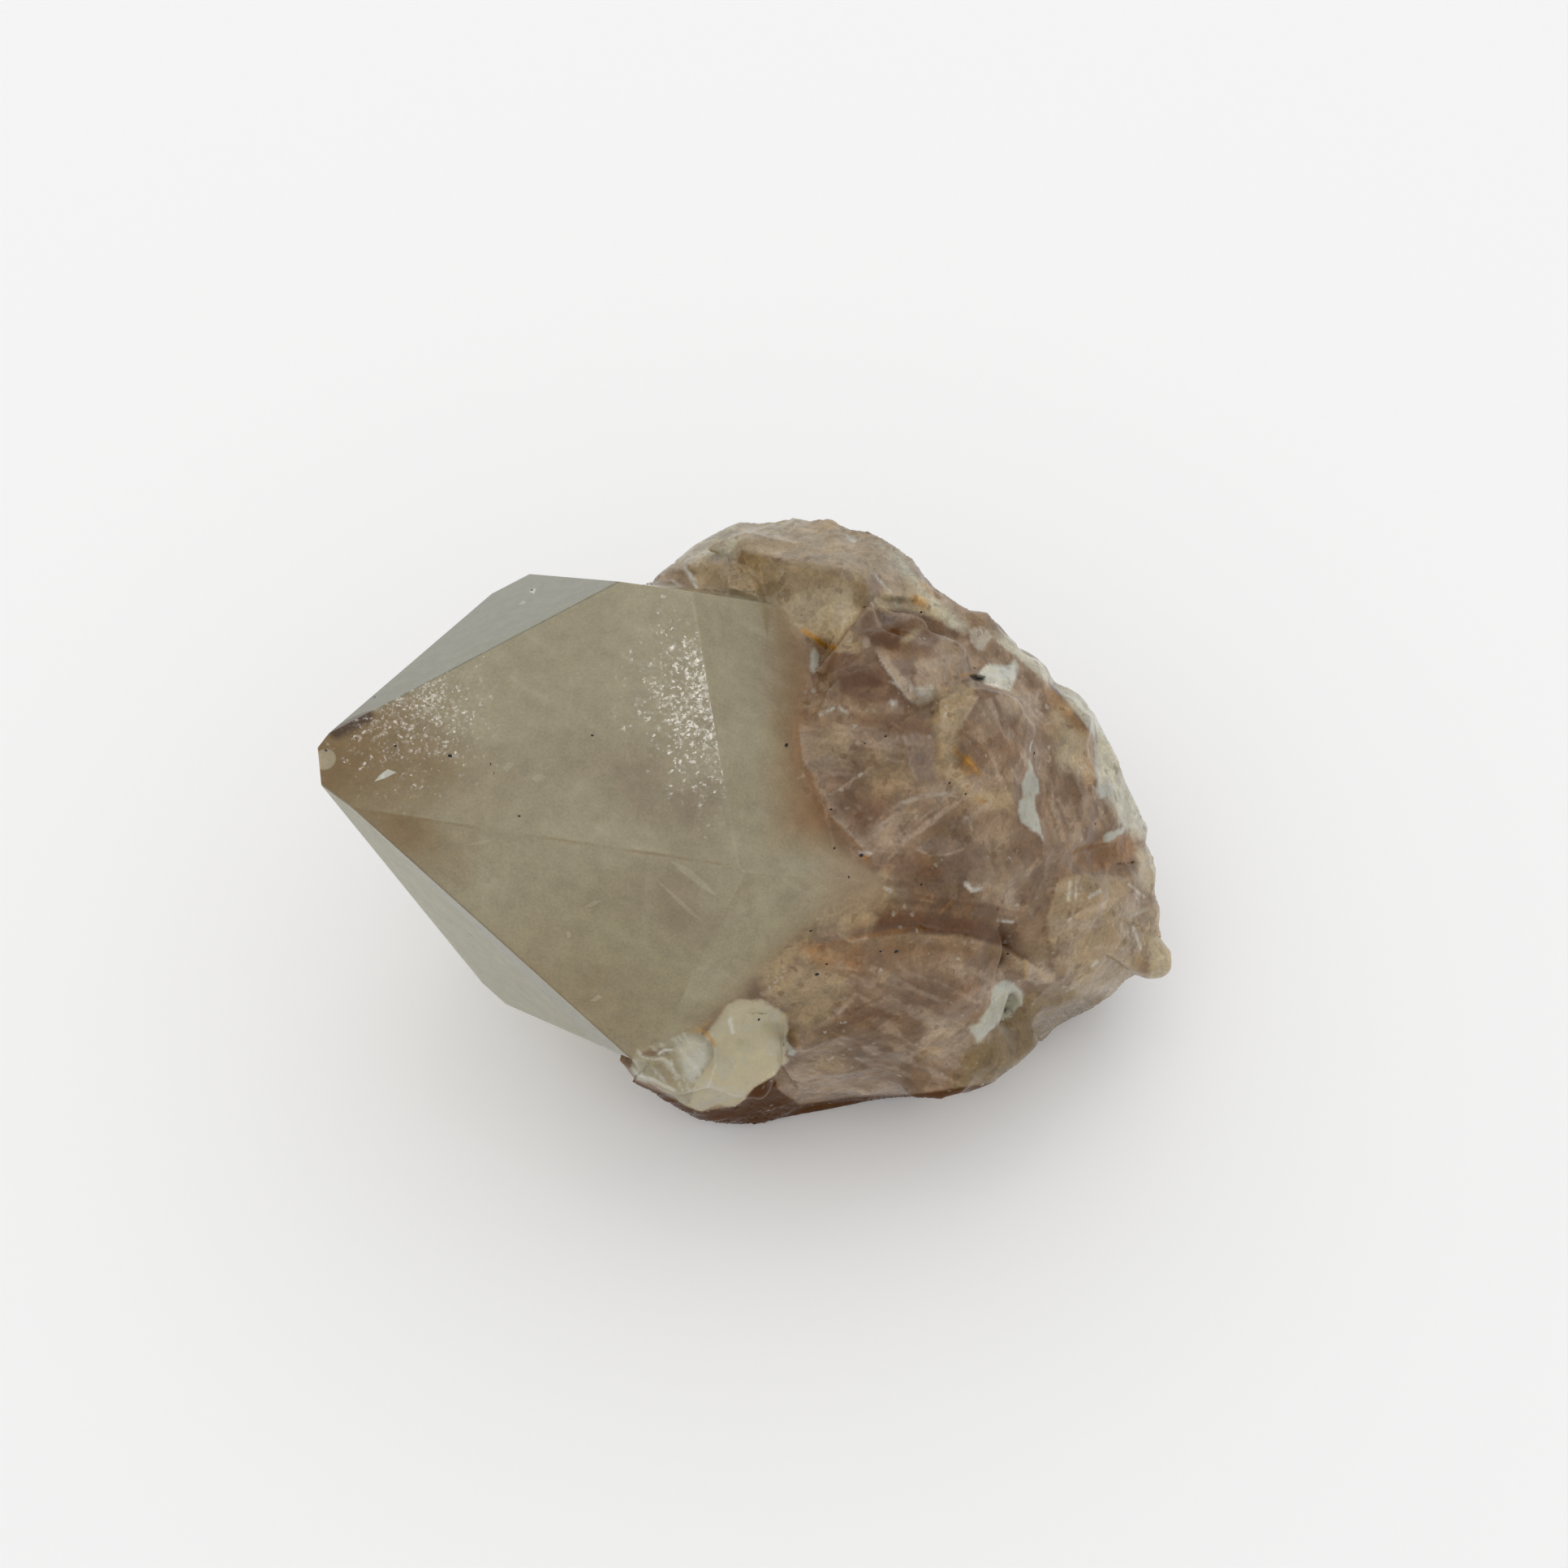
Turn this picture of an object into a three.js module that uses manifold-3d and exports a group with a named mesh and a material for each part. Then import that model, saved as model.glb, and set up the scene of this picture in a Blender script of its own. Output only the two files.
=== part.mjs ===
// A citrine cluster: one stout quartz point, grown together with smaller crystals on a lumpy, broken base.
// Millimetres, +Z up. The specimen rests on the flat break under its base; its point leans up to the left.
import * as THREE from "three";
import { ConvexGeometry } from "three/addons/geometries/ConvexGeometry.js";
import { mergeVertices } from "three/addons/utils/BufferGeometryUtils.js";
import Module from "manifold-3d";

const wasm = await Module();
wasm.setup();

const DEGREE = Math.PI / 180;

// The display side. Places on it are read as on a ruler held across the middle of the specimen: right and
// rise along the ruler, and out towards the eye, which is this far away and looks down this steeply.
const EYE_DISTANCE = 200;
const EYE_ELEVATION = 55 * DEGREE;
const GROUND = -34.5; // height of the resting plane, from the middle of the ruler

// The main point. Its faces stand at slightly different distances from its axis. Each cap face would cross
// the axis at its own height, and leans in by the angle that quartz has between prism and cap.
const CAP_LEAN = 38.2 * DEGREE;
const POINT_MIDDLE = [-18.7, -2.2, 0];
const POINT_SWING = 5.8 * DEGREE; // above the level, across the view
const POINT_REACH = 35.6 * DEGREE; // towards the eye
const POINT_ROLL = 6.9;
const PRISM_OFFSETS = [21.1, 20, 22.2, 21.1, 20.5, 19.5];
const CAP_HEIGHTS = [30.2, 23.8, 26.1, 25.9, 27.5, 31.2];
const PRISM_LENGTH = 30;

// The hidden side is covered with this many places for knobs and stub crystals, of these radii
const BACK_PLACES = 90;
const BACK_RADIUS = 2;
const BACK_RADIUS_SPREAD = 2.2;
const STUB_EVERY = 3; // every third place has a stub crystal, the others a low knob
const STUB_HEIGHT = 0.4; // heights, radii and half sizes here are shares of the place's radius
const STUB_RADIUS = 0.9;
const STUB_LEAN = 0.7;
const KNOB_SHAPE = [1.7, 1.5, 0.5];

const fromDisplay = new THREE.Matrix4().makeRotationX(Math.PI / 2 - EYE_ELEVATION);
const direction = (right, rise, out) => new THREE.Vector3(right, rise, out).applyMatrix4(fromDisplay);
const standing = (x, y, z) => new THREE.Vector3(x, y, z);

function seen(right, rise, out) {
  const nearer = 1 - out / EYE_DISTANCE;
  return direction(right * nearer, rise * nearer, out);
}

// Solids

function solid(geometry) {
  const bare = new THREE.BufferGeometry().setAttribute("position", geometry.getAttribute("position"));
  const merged = mergeVertices(bare, 1e-4);
  return new wasm.Manifold(
    new wasm.Mesh({
      numProp: 3,
      vertProperties: merged.attributes.position.array,
      triVerts: new Uint32Array(merged.index.array),
    }),
  );
}

function geometryOf(manifold) {
  const { vertProperties, triVerts } = manifold.getMesh();
  return new THREE.BufferGeometry()
    .setAttribute("position", new THREE.BufferAttribute(new Float32Array(vertProperties), 3))
    .setIndex(new THREE.BufferAttribute(new Uint32Array(triVerts), 1));
}

const join = (pieces) => pieces.reduce((all, piece) => all.add(piece));
const hull = (points) => solid(new ConvexGeometry(points));

// A repeatable stream of numbers from 0 to 1: each state is the last one times a factor, modulo a prime
const STREAM_PRIME = 2147483647;
const STREAM_FACTOR = 48271;
const STREAM_START = 7919;

function numbers(seed) {
  let state = seed * STREAM_START;
  return () => {
    state = (state * STREAM_FACTOR) % STREAM_PRIME;
    return state / STREAM_PRIME;
  };
}

// Successive places on an even spiral are this far apart round its axis
const GOLDEN_TURN = Math.PI * (3 - Math.sqrt(5));

function spiralPlace(index, count, turnMore = 0, heightMore = 0) {
  const height = 1 - (2 * (index + 0.5)) / count;
  const ring = Math.sqrt(1 - height * height);
  const turn = GOLDEN_TURN * index + turnMore;
  return standing(ring * Math.cos(turn), ring * Math.sin(turn), height + heightMore).normalize();
}

const facing = (normal, point) => new THREE.Plane().setFromNormalAndCoplanarPoint(normal, point);

// The solid that lies behind every plane. Each three planes meet in a point, and it is a corner of the
// solid where no other plane cuts it off.
function behind(planes) {
  const corners = [];
  for (let i = 0; i < planes.length; i++) {
    for (let j = i + 1; j < planes.length; j++) {
      for (let k = j + 1; k < planes.length; k++) {
        const [a, b, c] = [planes[i], planes[j], planes[k]];
        const size = a.normal.dot(new THREE.Vector3().crossVectors(b.normal, c.normal));
        if (Math.abs(size) < 1e-6) continue;
        const corner = new THREE.Vector3()
          .addScaledVector(new THREE.Vector3().crossVectors(b.normal, c.normal), -a.constant)
          .addScaledVector(new THREE.Vector3().crossVectors(c.normal, a.normal), -b.constant)
          .addScaledVector(new THREE.Vector3().crossVectors(a.normal, b.normal), -c.constant)
          .divideScalar(size);
        const cutOff = planes.some((plane) => plane.distanceToPoint(corner) > 1e-4);
        if (!cutOff && corners.every((other) => other.distanceTo(corner) > 0.01)) corners.push(corner);
      }
    }
  }
  return hull(corners);
}

// Quartz: six prism faces round the long axis, and above each a cap face that leans in
function quartz({ at, axis, roll, prism, cap, tail }) {
  const along = axis.clone().normalize();
  const upright = direction(0, 1, 0);
  const first = upright.addScaledVector(along, -upright.dot(along)).normalize();
  const planes = [facing(along.clone().negate(), at.clone().addScaledVector(along, -tail))];
  for (let face = 0; face < 6; face++) {
    const outward = first.clone().applyAxisAngle(along, -(roll + 60 * face) * DEGREE);
    const leaning = outward.clone().addScaledVector(along, Math.tan(CAP_LEAN)).normalize();
    planes.push(facing(outward, at.clone().addScaledVector(outward, prism[face])));
    planes.push(facing(leaning, at.clone().addScaledVector(along, cap[face])));
  }
  return behind(planes);
}

// A small crystal. Its faces stand at distances from its axis that are uneven by these shares.
const PRISM_UNEVEN = [0.8, 0.4];
const CAP_UNEVEN = [0.8, 0.5];

function smallQuartz(tip, axis, radius, seed) {
  const next = numbers(seed);
  const capHeight = radius / Math.tan(CAP_LEAN);
  const along = axis.clone().normalize();
  const uneven = ([least, more], size) => Array.from({ length: 6 }, () => size * (least + more * next()));
  return quartz({
    at: tip.clone().addScaledVector(along, -capHeight),
    axis: along,
    roll: 60 * next(),
    prism: uneven(PRISM_UNEVEN, radius),
    cap: uneven(CAP_UNEVEN, capHeight),
    tail: 3 * radius,
  });
}

// A broken lump: flat fracture faces in scattered directions round an ellipsoid. Its half sizes run across
// and up, and along its outward direction. The faces stray from an even spiral and cut in by these amounts.
const LUMP_STRAY = [1.1, 0.4];
const LUMP_CUT_IN = 0.22;

function lump(at, [acrossHalf, upHalf, outHalf], faces, seed, outwards = direction(0, 0, 1)) {
  const next = numbers(seed);
  const halves = new THREE.Vector3(acrossHalf, upHalf, outHalf);
  const turned = new THREE.Quaternion().setFromUnitVectors(standing(0, 0, 1), outwards.clone().normalize());
  const planes = [];
  for (let face = 0; face < faces; face++) {
    const [turnMore, heightMore] = LUMP_STRAY.map((stray) => stray * (next() - 0.5));
    const toward = spiralPlace(face, faces, turnMore, heightMore);
    const reach = toward.clone().multiply(halves).multiplyScalar(1 - LUMP_CUT_IN * next());
    const outward = toward.clone().divide(halves).normalize();
    planes.push(facing(outward.applyQuaternion(turned), reach.applyQuaternion(turned).add(at)));
  }
  return behind(planes);
}

// A low knob: only the top of a broad lump shows, so that its faces slope gently into what it sits on
const KNOB_FACES = 22;
const KNOB_BROADER = 1.5;
const KNOB_DEEPER = 2.4;
const KNOB_SUNK = 1.65;

function lowKnob(at, [acrossHalf, upHalf, height], seed, outwards) {
  const middle = at.clone().addScaledVector(outwards.clone().normalize(), -KNOB_SUNK * height);
  const halves = [KNOB_BROADER * acrossHalf, KNOB_BROADER * upHalf, KNOB_DEEPER * height];
  return lump(middle, halves, KNOB_FACES, seed, outwards);
}

// The main point
const pointAxis = direction(
  -Math.cos(POINT_REACH) * Math.cos(POINT_SWING),
  Math.cos(POINT_REACH) * Math.sin(POINT_SWING),
  Math.sin(POINT_REACH),
);

const mainPoint = quartz({
  at: direction(...POINT_MIDDLE),
  axis: pointAxis,
  roll: POINT_ROLL,
  prism: PRISM_OFFSETS,
  cap: CAP_HEIGHTS,
  tail: PRISM_LENGTH,
});

// The broken mass that the crystals grow from: a few large blocks with flat breaks between them
const rootBlocks = [
  // the purple middle
  hull([
    seen(1.6, 10, 3),
    seen(2.2, 3.4, 9),
    seen(4, -1.4, 10.6),
    seen(8, -6, 11),
    seen(9, 12, 4),
    seen(14, 5, 9),
    seen(17, -7, 8.4),
    seen(20.5, 13, -3),
    seen(24.6, 9.5, -5),
    seen(28.6, 5.8, -8),
    seen(24.5, 3, 0.5),
    seen(26.5, -6, 0),
    seen(30.6, 3, -10),
    seen(32.6, -1.5, -11),
    seen(34.2, -5.4, -13),
    seen(31, -4.5, -7),
    seen(4, -12, 8),
    seen(20, -12, 3),
    seen(10, 10, -22),
    seen(28, 0, -26),
    seen(30, -8, -24),
    seen(2, -12, -20),
  ]),
  // the back, under the second crystal
  hull([
    seen(-10, 17, -10),
    seen(-7.2, 22.6, -8),
    seen(-1, 24.6, -9),
    seen(6, 23.8, -9),
    seen(12.4, 20, -9),
    seen(20, 14.6, -9),
    seen(26, 8, -13),
    seen(6, 12, 0),
    standing(-13, 14, -26),
    standing(-4, 27, -14),
    standing(12, 28.5, -12),
    standing(24, 22, -14),
    standing(32, 10, -24),
    standing(26, 18, -36),
    standing(8, 25, -36),
    standing(-8, 20, -36),
  ]),
  // the skirt over the lower front face of the main point
  hull([
    seen(-4.5, -19.9, 8.5),
    seen(-2, -17, 9.5),
    seen(0.7, -14.7, 9.9),
    seen(4.9, -11.7, 9.9),
    seen(9, -9.6, 9.4),
    seen(17, -8, 7.8),
    seen(20, -13, 4.4),
    seen(12, -12.4, 9.4),
    seen(6, -15, 10.6),
    seen(2, -18, 9.9),
    seen(-1, -21, 8.4),
    seen(0, -16, -5),
    seen(18, -10, -10),
  ]),
  // the lower mass, in front
  hull([
    seen(2.5, -17, 9),
    seen(6.5, -15.6, 9.4),
    seen(11, -14.4, 8.8),
    seen(17.5, -15.2, 6.2),
    seen(21, -19, 2),
    seen(0, -21, 6.5),
    seen(-0.4, -27.2, -1),
    seen(1.6, -29.9, -8),
    seen(8.3, -29.4, -9),
    seen(14.6, -28.9, -10),
    seen(18.6, -25.4, -5),
    seen(10, -22, 5.5),
    standing(4, -14, -33),
    standing(18, -8, -33),
    standing(10, 8, -34),
  ]),
  // the lower right lobe
  hull([
    seen(21, -9.5, 2),
    seen(25.5, -8.8, 0.5),
    seen(30.5, -8.4, -5),
    seen(34.4, -7.6, -13),
    seen(35.1, -12.5, -15),
    seen(34.4, -17.6, -17),
    seen(32.8, -18, -18),
    seen(29.2, -20.8, -18),
    seen(23.8, -23.7, -17),
    seen(21.5, -21.5, -4),
    seen(20, -14, 2.5),
    seen(28.5, -13, -3),
    standing(32, 2, -33),
    standing(24, -8, -36),
    standing(16, 10, -36),
    standing(34, 8, -24),
    standing(30, 12, -36),
  ]),
  // the heart of the mass, behind all the others
  hull([
    seen(2, 6, -6),
    seen(2, -14, -4),
    seen(22, 4, -10),
    seen(24, -16, -10),
    standing(-9, -12, -36),
    standing(-8, 20.5, -36),
    standing(8, 24.5, -36),
    standing(26.5, 18.5, -36),
    standing(29, 12, -36),
    standing(28, -8, -36),
    standing(22, -12, -36),
    standing(10, -14.6, -36),
  ]),
  // the foot at the back, round the root of the main point
  hull([
    standing(-15, 4, -36),
    standing(-15.5, 12, -33),
    standing(-12.5, 19, -29),
    standing(-14.5, 12, -21),
    standing(-10, 22, -18),
    standing(-2, 25, -16),
    standing(4, 26, -24),
    standing(0, 25, -36),
    standing(-10, 20, -36),
    standing(0, 0, -20),
    standing(10, 10, -14),
    standing(4, -4, -36),
  ]),
  // the underside in front, below the main point
  hull([
    seen(-16.2, -26.2, -1),
    seen(-13.6, -28.6, -5),
    seen(-10.8, -30.4, -10),
    seen(-7.2, -31.9, -15),
    seen(-3.5, -32.2, -17.5),
    seen(-1.4, -31.4, -17),
    seen(1.6, -30.1, -15),
    seen(12, -28.4, -15),
    seen(21.1, -26.7, -16),
    seen(-10, -20, -6),
    standing(-10, -12, -36),
    standing(-3.5, -18.4, -36),
    standing(1, -16.2, -36),
    standing(10, -14.8, -36),
    standing(22, -10, -36),
    standing(-12, 4, -36),
    standing(22, 8, -36),
    standing(-6, 4, -16),
  ]),
];

// The second crystal, behind the main one, with two flat faces that meet in a level edge
const secondCrystal = [
  hull([
    seen(-3.7, 21.8, 3.2),
    seen(-2.6, 19.6, 1.5),
    seen(-1.5, 17.6, 1.5),
    seen(0, 15, 2),
    seen(5.2, 13.3, 4.6),
    seen(8.3, 17.5, 7),
    seen(7.2, 19.8, 6.5),
    seen(2.6, 20.2, 5),
    seen(10.2, 22.6, 0),
    seen(6.9, 23.9, -2),
    seen(4.6, 24.8, -3),
    seen(1.6, 25.1, -4),
    seen(-2, 24.5, -3),
    seen(-3, 14, -12),
    seen(10, 9, -14),
    seen(10, 20, -14),
  ]),
  // its left shoulder, with a level shining edge
  hull([
    seen(-12, 18.8, -2),
    seen(-10.6, 20.6, -2),
    seen(-4.7, 20.8, 1.5),
    seen(-4, 18.4, 1.6),
    seen(-8, 18.2, 0.5),
    seen(-9.1, 21.9, -5),
    seen(-7, 23.2, -5),
    seen(-4.6, 24.4, -5),
    seen(1.6, 25.1, -7),
    seen(-11, 15, -10),
    seen(-6, 13, -6),
    seen(2, 15, -14),
  ]),
  // its right shoulder, streaked
  hull([
    seen(7.5, 20, 5),
    seen(10.4, 22.5, -1),
    seen(12.9, 20.2, -1.5),
    seen(17, 16.4, 0),
    seen(13.5, 15.8, 4),
    seen(10.2, 16.6, 6),
    seen(7.8, 17, 6.2),
    seen(8, 20, -12),
    seen(17, 13, -12),
    seen(7, 9, -8),
  ]),
  // the step between it and the purple middle
  hull([
    seen(5.2, 13.3, 5.4),
    seen(8.2, 17.4, 7.4),
    seen(10.2, 16.4, 7.8),
    seen(7.7, 16.4, 8.6),
    seen(4.4, 12.2, 7.6),
    seen(6.5, 10, 7),
    seen(10, 12, 7),
    seen(8, 11, -4),
    seen(3, 9, -4),
  ]),
];

// Crystals with broad flat faces at the top of the purple middle
const purpleCrystals = [
  hull([
    seen(7.6, 16.3, 7.6),
    seen(11.4, 16.2, 8),
    seen(14.8, 15.4, 5.5),
    seen(17.6, 13.2, 4.5),
    seen(14.5, 10.2, 9.2),
    seen(11.6, 7.8, 11),
    seen(9, 11.8, 10.6),
    seen(4.6, 12, 8.8),
    seen(2.6, 10.7, 8),
    seen(5.2, 8, 9.6),
    seen(6, 5, -4),
    seen(18, 5, -4),
  ]),
  hull([
    seen(5.3, 10.4, 10),
    seen(9.4, 11.4, 11.4),
    seen(11.6, 7.9, 12),
    seen(7.2, 7.4, 11.2),
    seen(3.2, 8, 9.6),
    seen(2, 5.4, 8.8),
    seen(9, 3.4, 11),
    seen(6, 4, 0),
    seen(11, 6, 0),
  ]),
  hull([
    seen(14, 8.5, 10.8),
    seen(17.8, 10, 9.2),
    seen(21.2, 8.8, 6),
    seen(24.2, 5.4, 3),
    seen(22.4, 1, 5),
    seen(17.8, -1.4, 9.6),
    seen(14.2, 1.4, 11),
    seen(16.3, 5, 11.2),
    seen(16, 4, -2),
    seen(22, 4, -6),
  ]),
];

// The rim along the back of the base: pale stub crystals that lean outwards, [right, rise, out] and radius
const rimTips = [
  [[17.4, 16.9, 1], 2.4],
  [[19.9, 16, -1], 2.8],
  [[22.4, 13.3, -3], 3],
  [[25.1, 10.8, -5], 3.4],
  [[28.5, 7.6, -7], 3.6],
  [[31, 4.2, -9.5], 3.4],
  [[32.6, -0.2, -11], 3.2],
  [[34, -4.4, -13], 3],
  [[34.9, -8.4, -14.5], 2.8],
];

// They lean out from the middle of the base: the first up its slope, the last a little down
const RIM_FIRST_TURN = 52;
const RIM_TURN_STEP = -8.5;
const RIM_LEAN_OUT = 0.3;

const rimCrystals = rimTips.map(([tip, radius], index) => {
  const turn = (RIM_FIRST_TURN + RIM_TURN_STEP * index) * DEGREE;
  return smallQuartz(seen(...tip), direction(Math.cos(turn), Math.sin(turn), RIM_LEAN_OUT), radius, 40 + index);
});

// Round nodules that sit on the crystals like drops
const nodules = [
  lump(seen(-3.9, -25.1, 5.4), [4.2, 5.3, 4], 34, 3), // the cream disc below the main point
  lump(seen(-9.7, -26.1, 4.4), [4.3, 3.2, 3.2], 24, 5), // the clear shell beside it
  lump(seen(34, -16, -15.5), [2.6, 2.3, 3], 26, 8), // the pale knob at the right end
  lump(seen(16.8, -24.8, -5), [5.2, 3.9, 5], 26, 12), // the smooth olive lump under the lower mass
  lump(seen(1.8, -23.9, 4.6), [1.8, 1.2, 2], 14, 17),
];

const crystals = [mainPoint, ...secondCrystal, ...purpleCrystals, ...rimCrystals];
const blocks = join([...rootBlocks, ...crystals, ...nodules]);

// Where a straight line first meets the blocks, and which way the surface faces there
const blockTarget = new THREE.Mesh(geometryOf(blocks), new THREE.MeshBasicMaterial());
const eye = direction(0, 0, EYE_DISTANCE);

function whereMet(from, towards) {
  const ray = new THREE.Raycaster(from, towards.clone().sub(from).normalize());
  const { point, face } = ray.intersectObject(blockTarget)[0];
  return { point, outwards: face.normal };
}

// Smaller knobs on the display side: right, rise, half sizes across and up, and height
const knobs = [
  [7.1, 3.5, 4.4, 3.2, 1],
  [5.2, -1.2, 3.6, 3.2, 1],
  [10.6, 2.6, 3.4, 3.2, 0.9],
  [9.4, -3.4, 3.8, 3, 1],
  [13.6, 0.2, 3.2, 3.4, 0.8],
  [15.1, -4.8, 2.8, 1.7, 0.9],
  [18.4, -1.8, 3.2, 2.6, 0.9],
  [20.4, 3.4, 2.6, 3.8, 0.8],
  [18.4, -8.8, 1.9, 1.5, 0.9],
  [21.6, -7.2, 3, 2.2, 0.9],
  [12.5, -8.2, 3.2, 1.8, 0.7],
  [16.3, -12.1, 4.2, 1.7, 0.6],
  [6.9, -13, 2.4, 1.3, 0.8],
  [11.4, -12.2, 2.8, 1.3, 0.5],
  [1.8, -15.8, 2.4, 1.2, 0.5],
  [3.4, -18.4, 3, 1.4, 0.6],
  [-1.6, -19.2, 2, 1.6, 0.5],
  [25.4, 4.6, 3.2, 3.4, 1],
  [27, 0.4, 3.2, 3, 0.9],
  [25.4, -3.4, 3.6, 2.8, 0.9],
  [29.6, -2.4, 2.4, 2.4, 1],
  [29.8, 1.4, 2.2, 2.4, 0.9],
  [18.3, 13.6, 1.8, 1.6, 0.9],
  [22.4, 8.6, 2.6, 2.6, 1.1],
  [5.4, -20.6, 4.4, 3.2, 0.9],
  [9.8, -17.6, 3.8, 2.4, 0.8],
  [14.8, -18.6, 3.8, 3.2, 1],
  [10.2, -23.4, 4.4, 3.2, 1],
  [4.9, -26, 3.6, 2.8, 1],
  [13.6, -26, 3.2, 2.4, 0.9],
  [18, -16.8, 2.8, 2.8, 0.8],
  [26.6, -10.8, 3.6, 2.4, 0.8],
  [31, -10.2, 2.6, 2, 0.9],
  [31.9, -13.4, 2, 2.6, 0.9],
  [28.2, -14.8, 3.8, 3, 0.8],
  [24.2, -17.2, 2.6, 3, 0.8],
  [29.8, -16.8, 2.4, 1.8, 0.9],
  [19.8, -21.4, 1.4, 2.6, 1.1],
  [23, -0.8, 1.1, 4.6, 1.1],
  [21.2, -22.8, 2.6, 2, 0.8],
  [-1.6, 22.4, 3.2, 1.2, 0.6],
  [-6.6, 20.8, 2.4, 1, 0.5],
  [12.4, 18.4, 1.5, 2.2, 0.7],
];

const displayKnobs = knobs.map(([right, rise, across, up, height], index) => {
  const { point, outwards } = whereMet(eye, seen(right, rise, 0));
  return lowKnob(point, [across, up, height], 100 + index, outwards.add(direction(0, 0, 0.6)));
});

// The back and the ends, covered with stub crystals and low knobs on an even spiral
const baseMiddle = direction(12, -2, -16);

function backCover() {
  const next = numbers(7);
  const cover = [];
  for (let index = 0; index < BACK_PLACES; index++) {
    const towards = spiralPlace(index, BACK_PLACES);
    const size = BACK_RADIUS + BACK_RADIUS_SPREAD * next();
    const seed = 200 + index;
    const facesEye = towards.dot(direction(0, 0, 1)) > -0.3;
    const facesPoint = towards.x < -0.75;
    const facesGround = towards.z < -0.6;
    if (facesEye || facesPoint || facesGround) continue;
    const { point, outwards } = whereMet(baseMiddle.clone().addScaledVector(towards, 90), baseMiddle);
    const leaning = standing(next() - 0.5, next() - 0.5, 0.5).multiplyScalar(STUB_LEAN).add(outwards);
    const stubTip = point.clone().addScaledVector(outwards, STUB_HEIGHT * size);
    const stub = smallQuartz(stubTip, leaning, STUB_RADIUS * size, seed);
    const knob = lowKnob(point, KNOB_SHAPE.map((share) => share * size), seed, outwards);
    cover.push(index % STUB_EVERY ? knob : stub);
  }
  return cover;
}

// Hollows and clefts: right, rise, half sizes across and up, and depth
const HOLLOW_FACES = 18;
const HOLLOW_REACH = 2.6; // how far the cutting lump reaches out from its middle, which is off the surface
const hollows = [
  [32.4, -12.4, 1.4, 2, 1.4],
  [18.4, 9.8, 1.2, 0.8, 1.3],
  [28.4, -6.8, 5.4, 1.3, 1.5],
  [12.5, -13.9, 7, 0.9, 1],
  [21.2, -15.4, 1.2, 3.4, 0.9],
  [-0.2, -28.4, 1.4, 2, 1.6],
  [24.6, -19.6, 1.2, 2.6, 1.1],
];

const displayHollows = hollows.map(([right, rise, across, up, depth], index) => {
  const { point, outwards } = whereMet(eye, seen(right, rise, 0));
  const middle = point.addScaledVector(outwards, HOLLOW_REACH - depth);
  return lump(middle, [across, up, HOLLOW_REACH], HOLLOW_FACES, 300 + index, outwards);
});

// The flat break underneath, which the specimen rests on
const SPOIL = 200;
const spoilBox = new THREE.BoxGeometry(SPOIL, SPOIL, SPOIL).toNonIndexed();
const ground = solid(spoilBox.translate(0, 0, GROUND - SPOIL / 2));

const grownTogether = join([blocks, ...displayKnobs, ...backCover()])
  .subtract(join(displayHollows))
  .subtract(ground);

// Gaps left shut in between the blocks are skins of their own, so the outer skin alone is the whole solid
const largestFirst = (a, b) => b.volume() - a.volume();
const cluster = grownTogether.decompose().sort(largestFirst)[0];

// The origin is at the bottom, under the middle of the specimen
const clusterGeometry = geometryOf(cluster);
clusterGeometry.computeBoundingBox();
const box = clusterGeometry.boundingBox;
const toOrigin = standing(-(box.min.x + box.max.x) / 2, -(box.min.y + box.max.y) / 2, -box.min.z);
clusterGeometry.translate(toOrigin.x, toOrigin.y, toOrigin.z);

const group = new THREE.Group();
const quartzSkin = new THREE.MeshStandardMaterial({ color: 0x9a8c72, roughness: 0.35, metalness: 0 });
const specimen = new THREE.Mesh(clusterGeometry, quartzSkin);
specimen.name = "citrine_cluster";
group.add(specimen);

export default group;
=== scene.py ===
import functools
import math
import bpy
import bmesh
import numpy as np
from mathutils import Matrix, Vector


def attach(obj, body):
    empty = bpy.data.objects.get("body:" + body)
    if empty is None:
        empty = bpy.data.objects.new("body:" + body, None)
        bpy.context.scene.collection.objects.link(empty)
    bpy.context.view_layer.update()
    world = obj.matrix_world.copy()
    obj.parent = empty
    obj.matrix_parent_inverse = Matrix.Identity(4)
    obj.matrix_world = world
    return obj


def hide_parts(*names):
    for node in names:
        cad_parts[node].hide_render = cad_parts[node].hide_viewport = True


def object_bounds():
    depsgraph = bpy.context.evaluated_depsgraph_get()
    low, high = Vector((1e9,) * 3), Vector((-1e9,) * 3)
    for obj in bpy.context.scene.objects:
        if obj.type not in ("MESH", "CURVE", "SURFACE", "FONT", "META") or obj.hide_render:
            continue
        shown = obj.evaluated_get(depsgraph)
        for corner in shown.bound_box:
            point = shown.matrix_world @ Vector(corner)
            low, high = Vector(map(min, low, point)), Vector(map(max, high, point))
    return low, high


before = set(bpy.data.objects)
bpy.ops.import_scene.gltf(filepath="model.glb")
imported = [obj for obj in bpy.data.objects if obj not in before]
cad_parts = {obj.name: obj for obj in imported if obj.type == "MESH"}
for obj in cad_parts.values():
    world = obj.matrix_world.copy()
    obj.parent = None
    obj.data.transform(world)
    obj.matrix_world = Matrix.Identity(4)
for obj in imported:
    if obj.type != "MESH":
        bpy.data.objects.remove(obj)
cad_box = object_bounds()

# The ruler across the specimen
# Places are read from the display side, in millimetres on a ruler held level across the specimen's middle:
# right along it, rise up the slope of the view, and out towards the eye, which looks down from 55 degrees.
MM = 0.001
EYE_ELEVATION = math.radians(55)
EYE_DISTANCE = 200 * MM
RULER_MIDDLE = np.array([1.027, -1.013, 34.5]) * MM
RIGHT = np.array([1.0, 0.0, 0.0])
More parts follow.
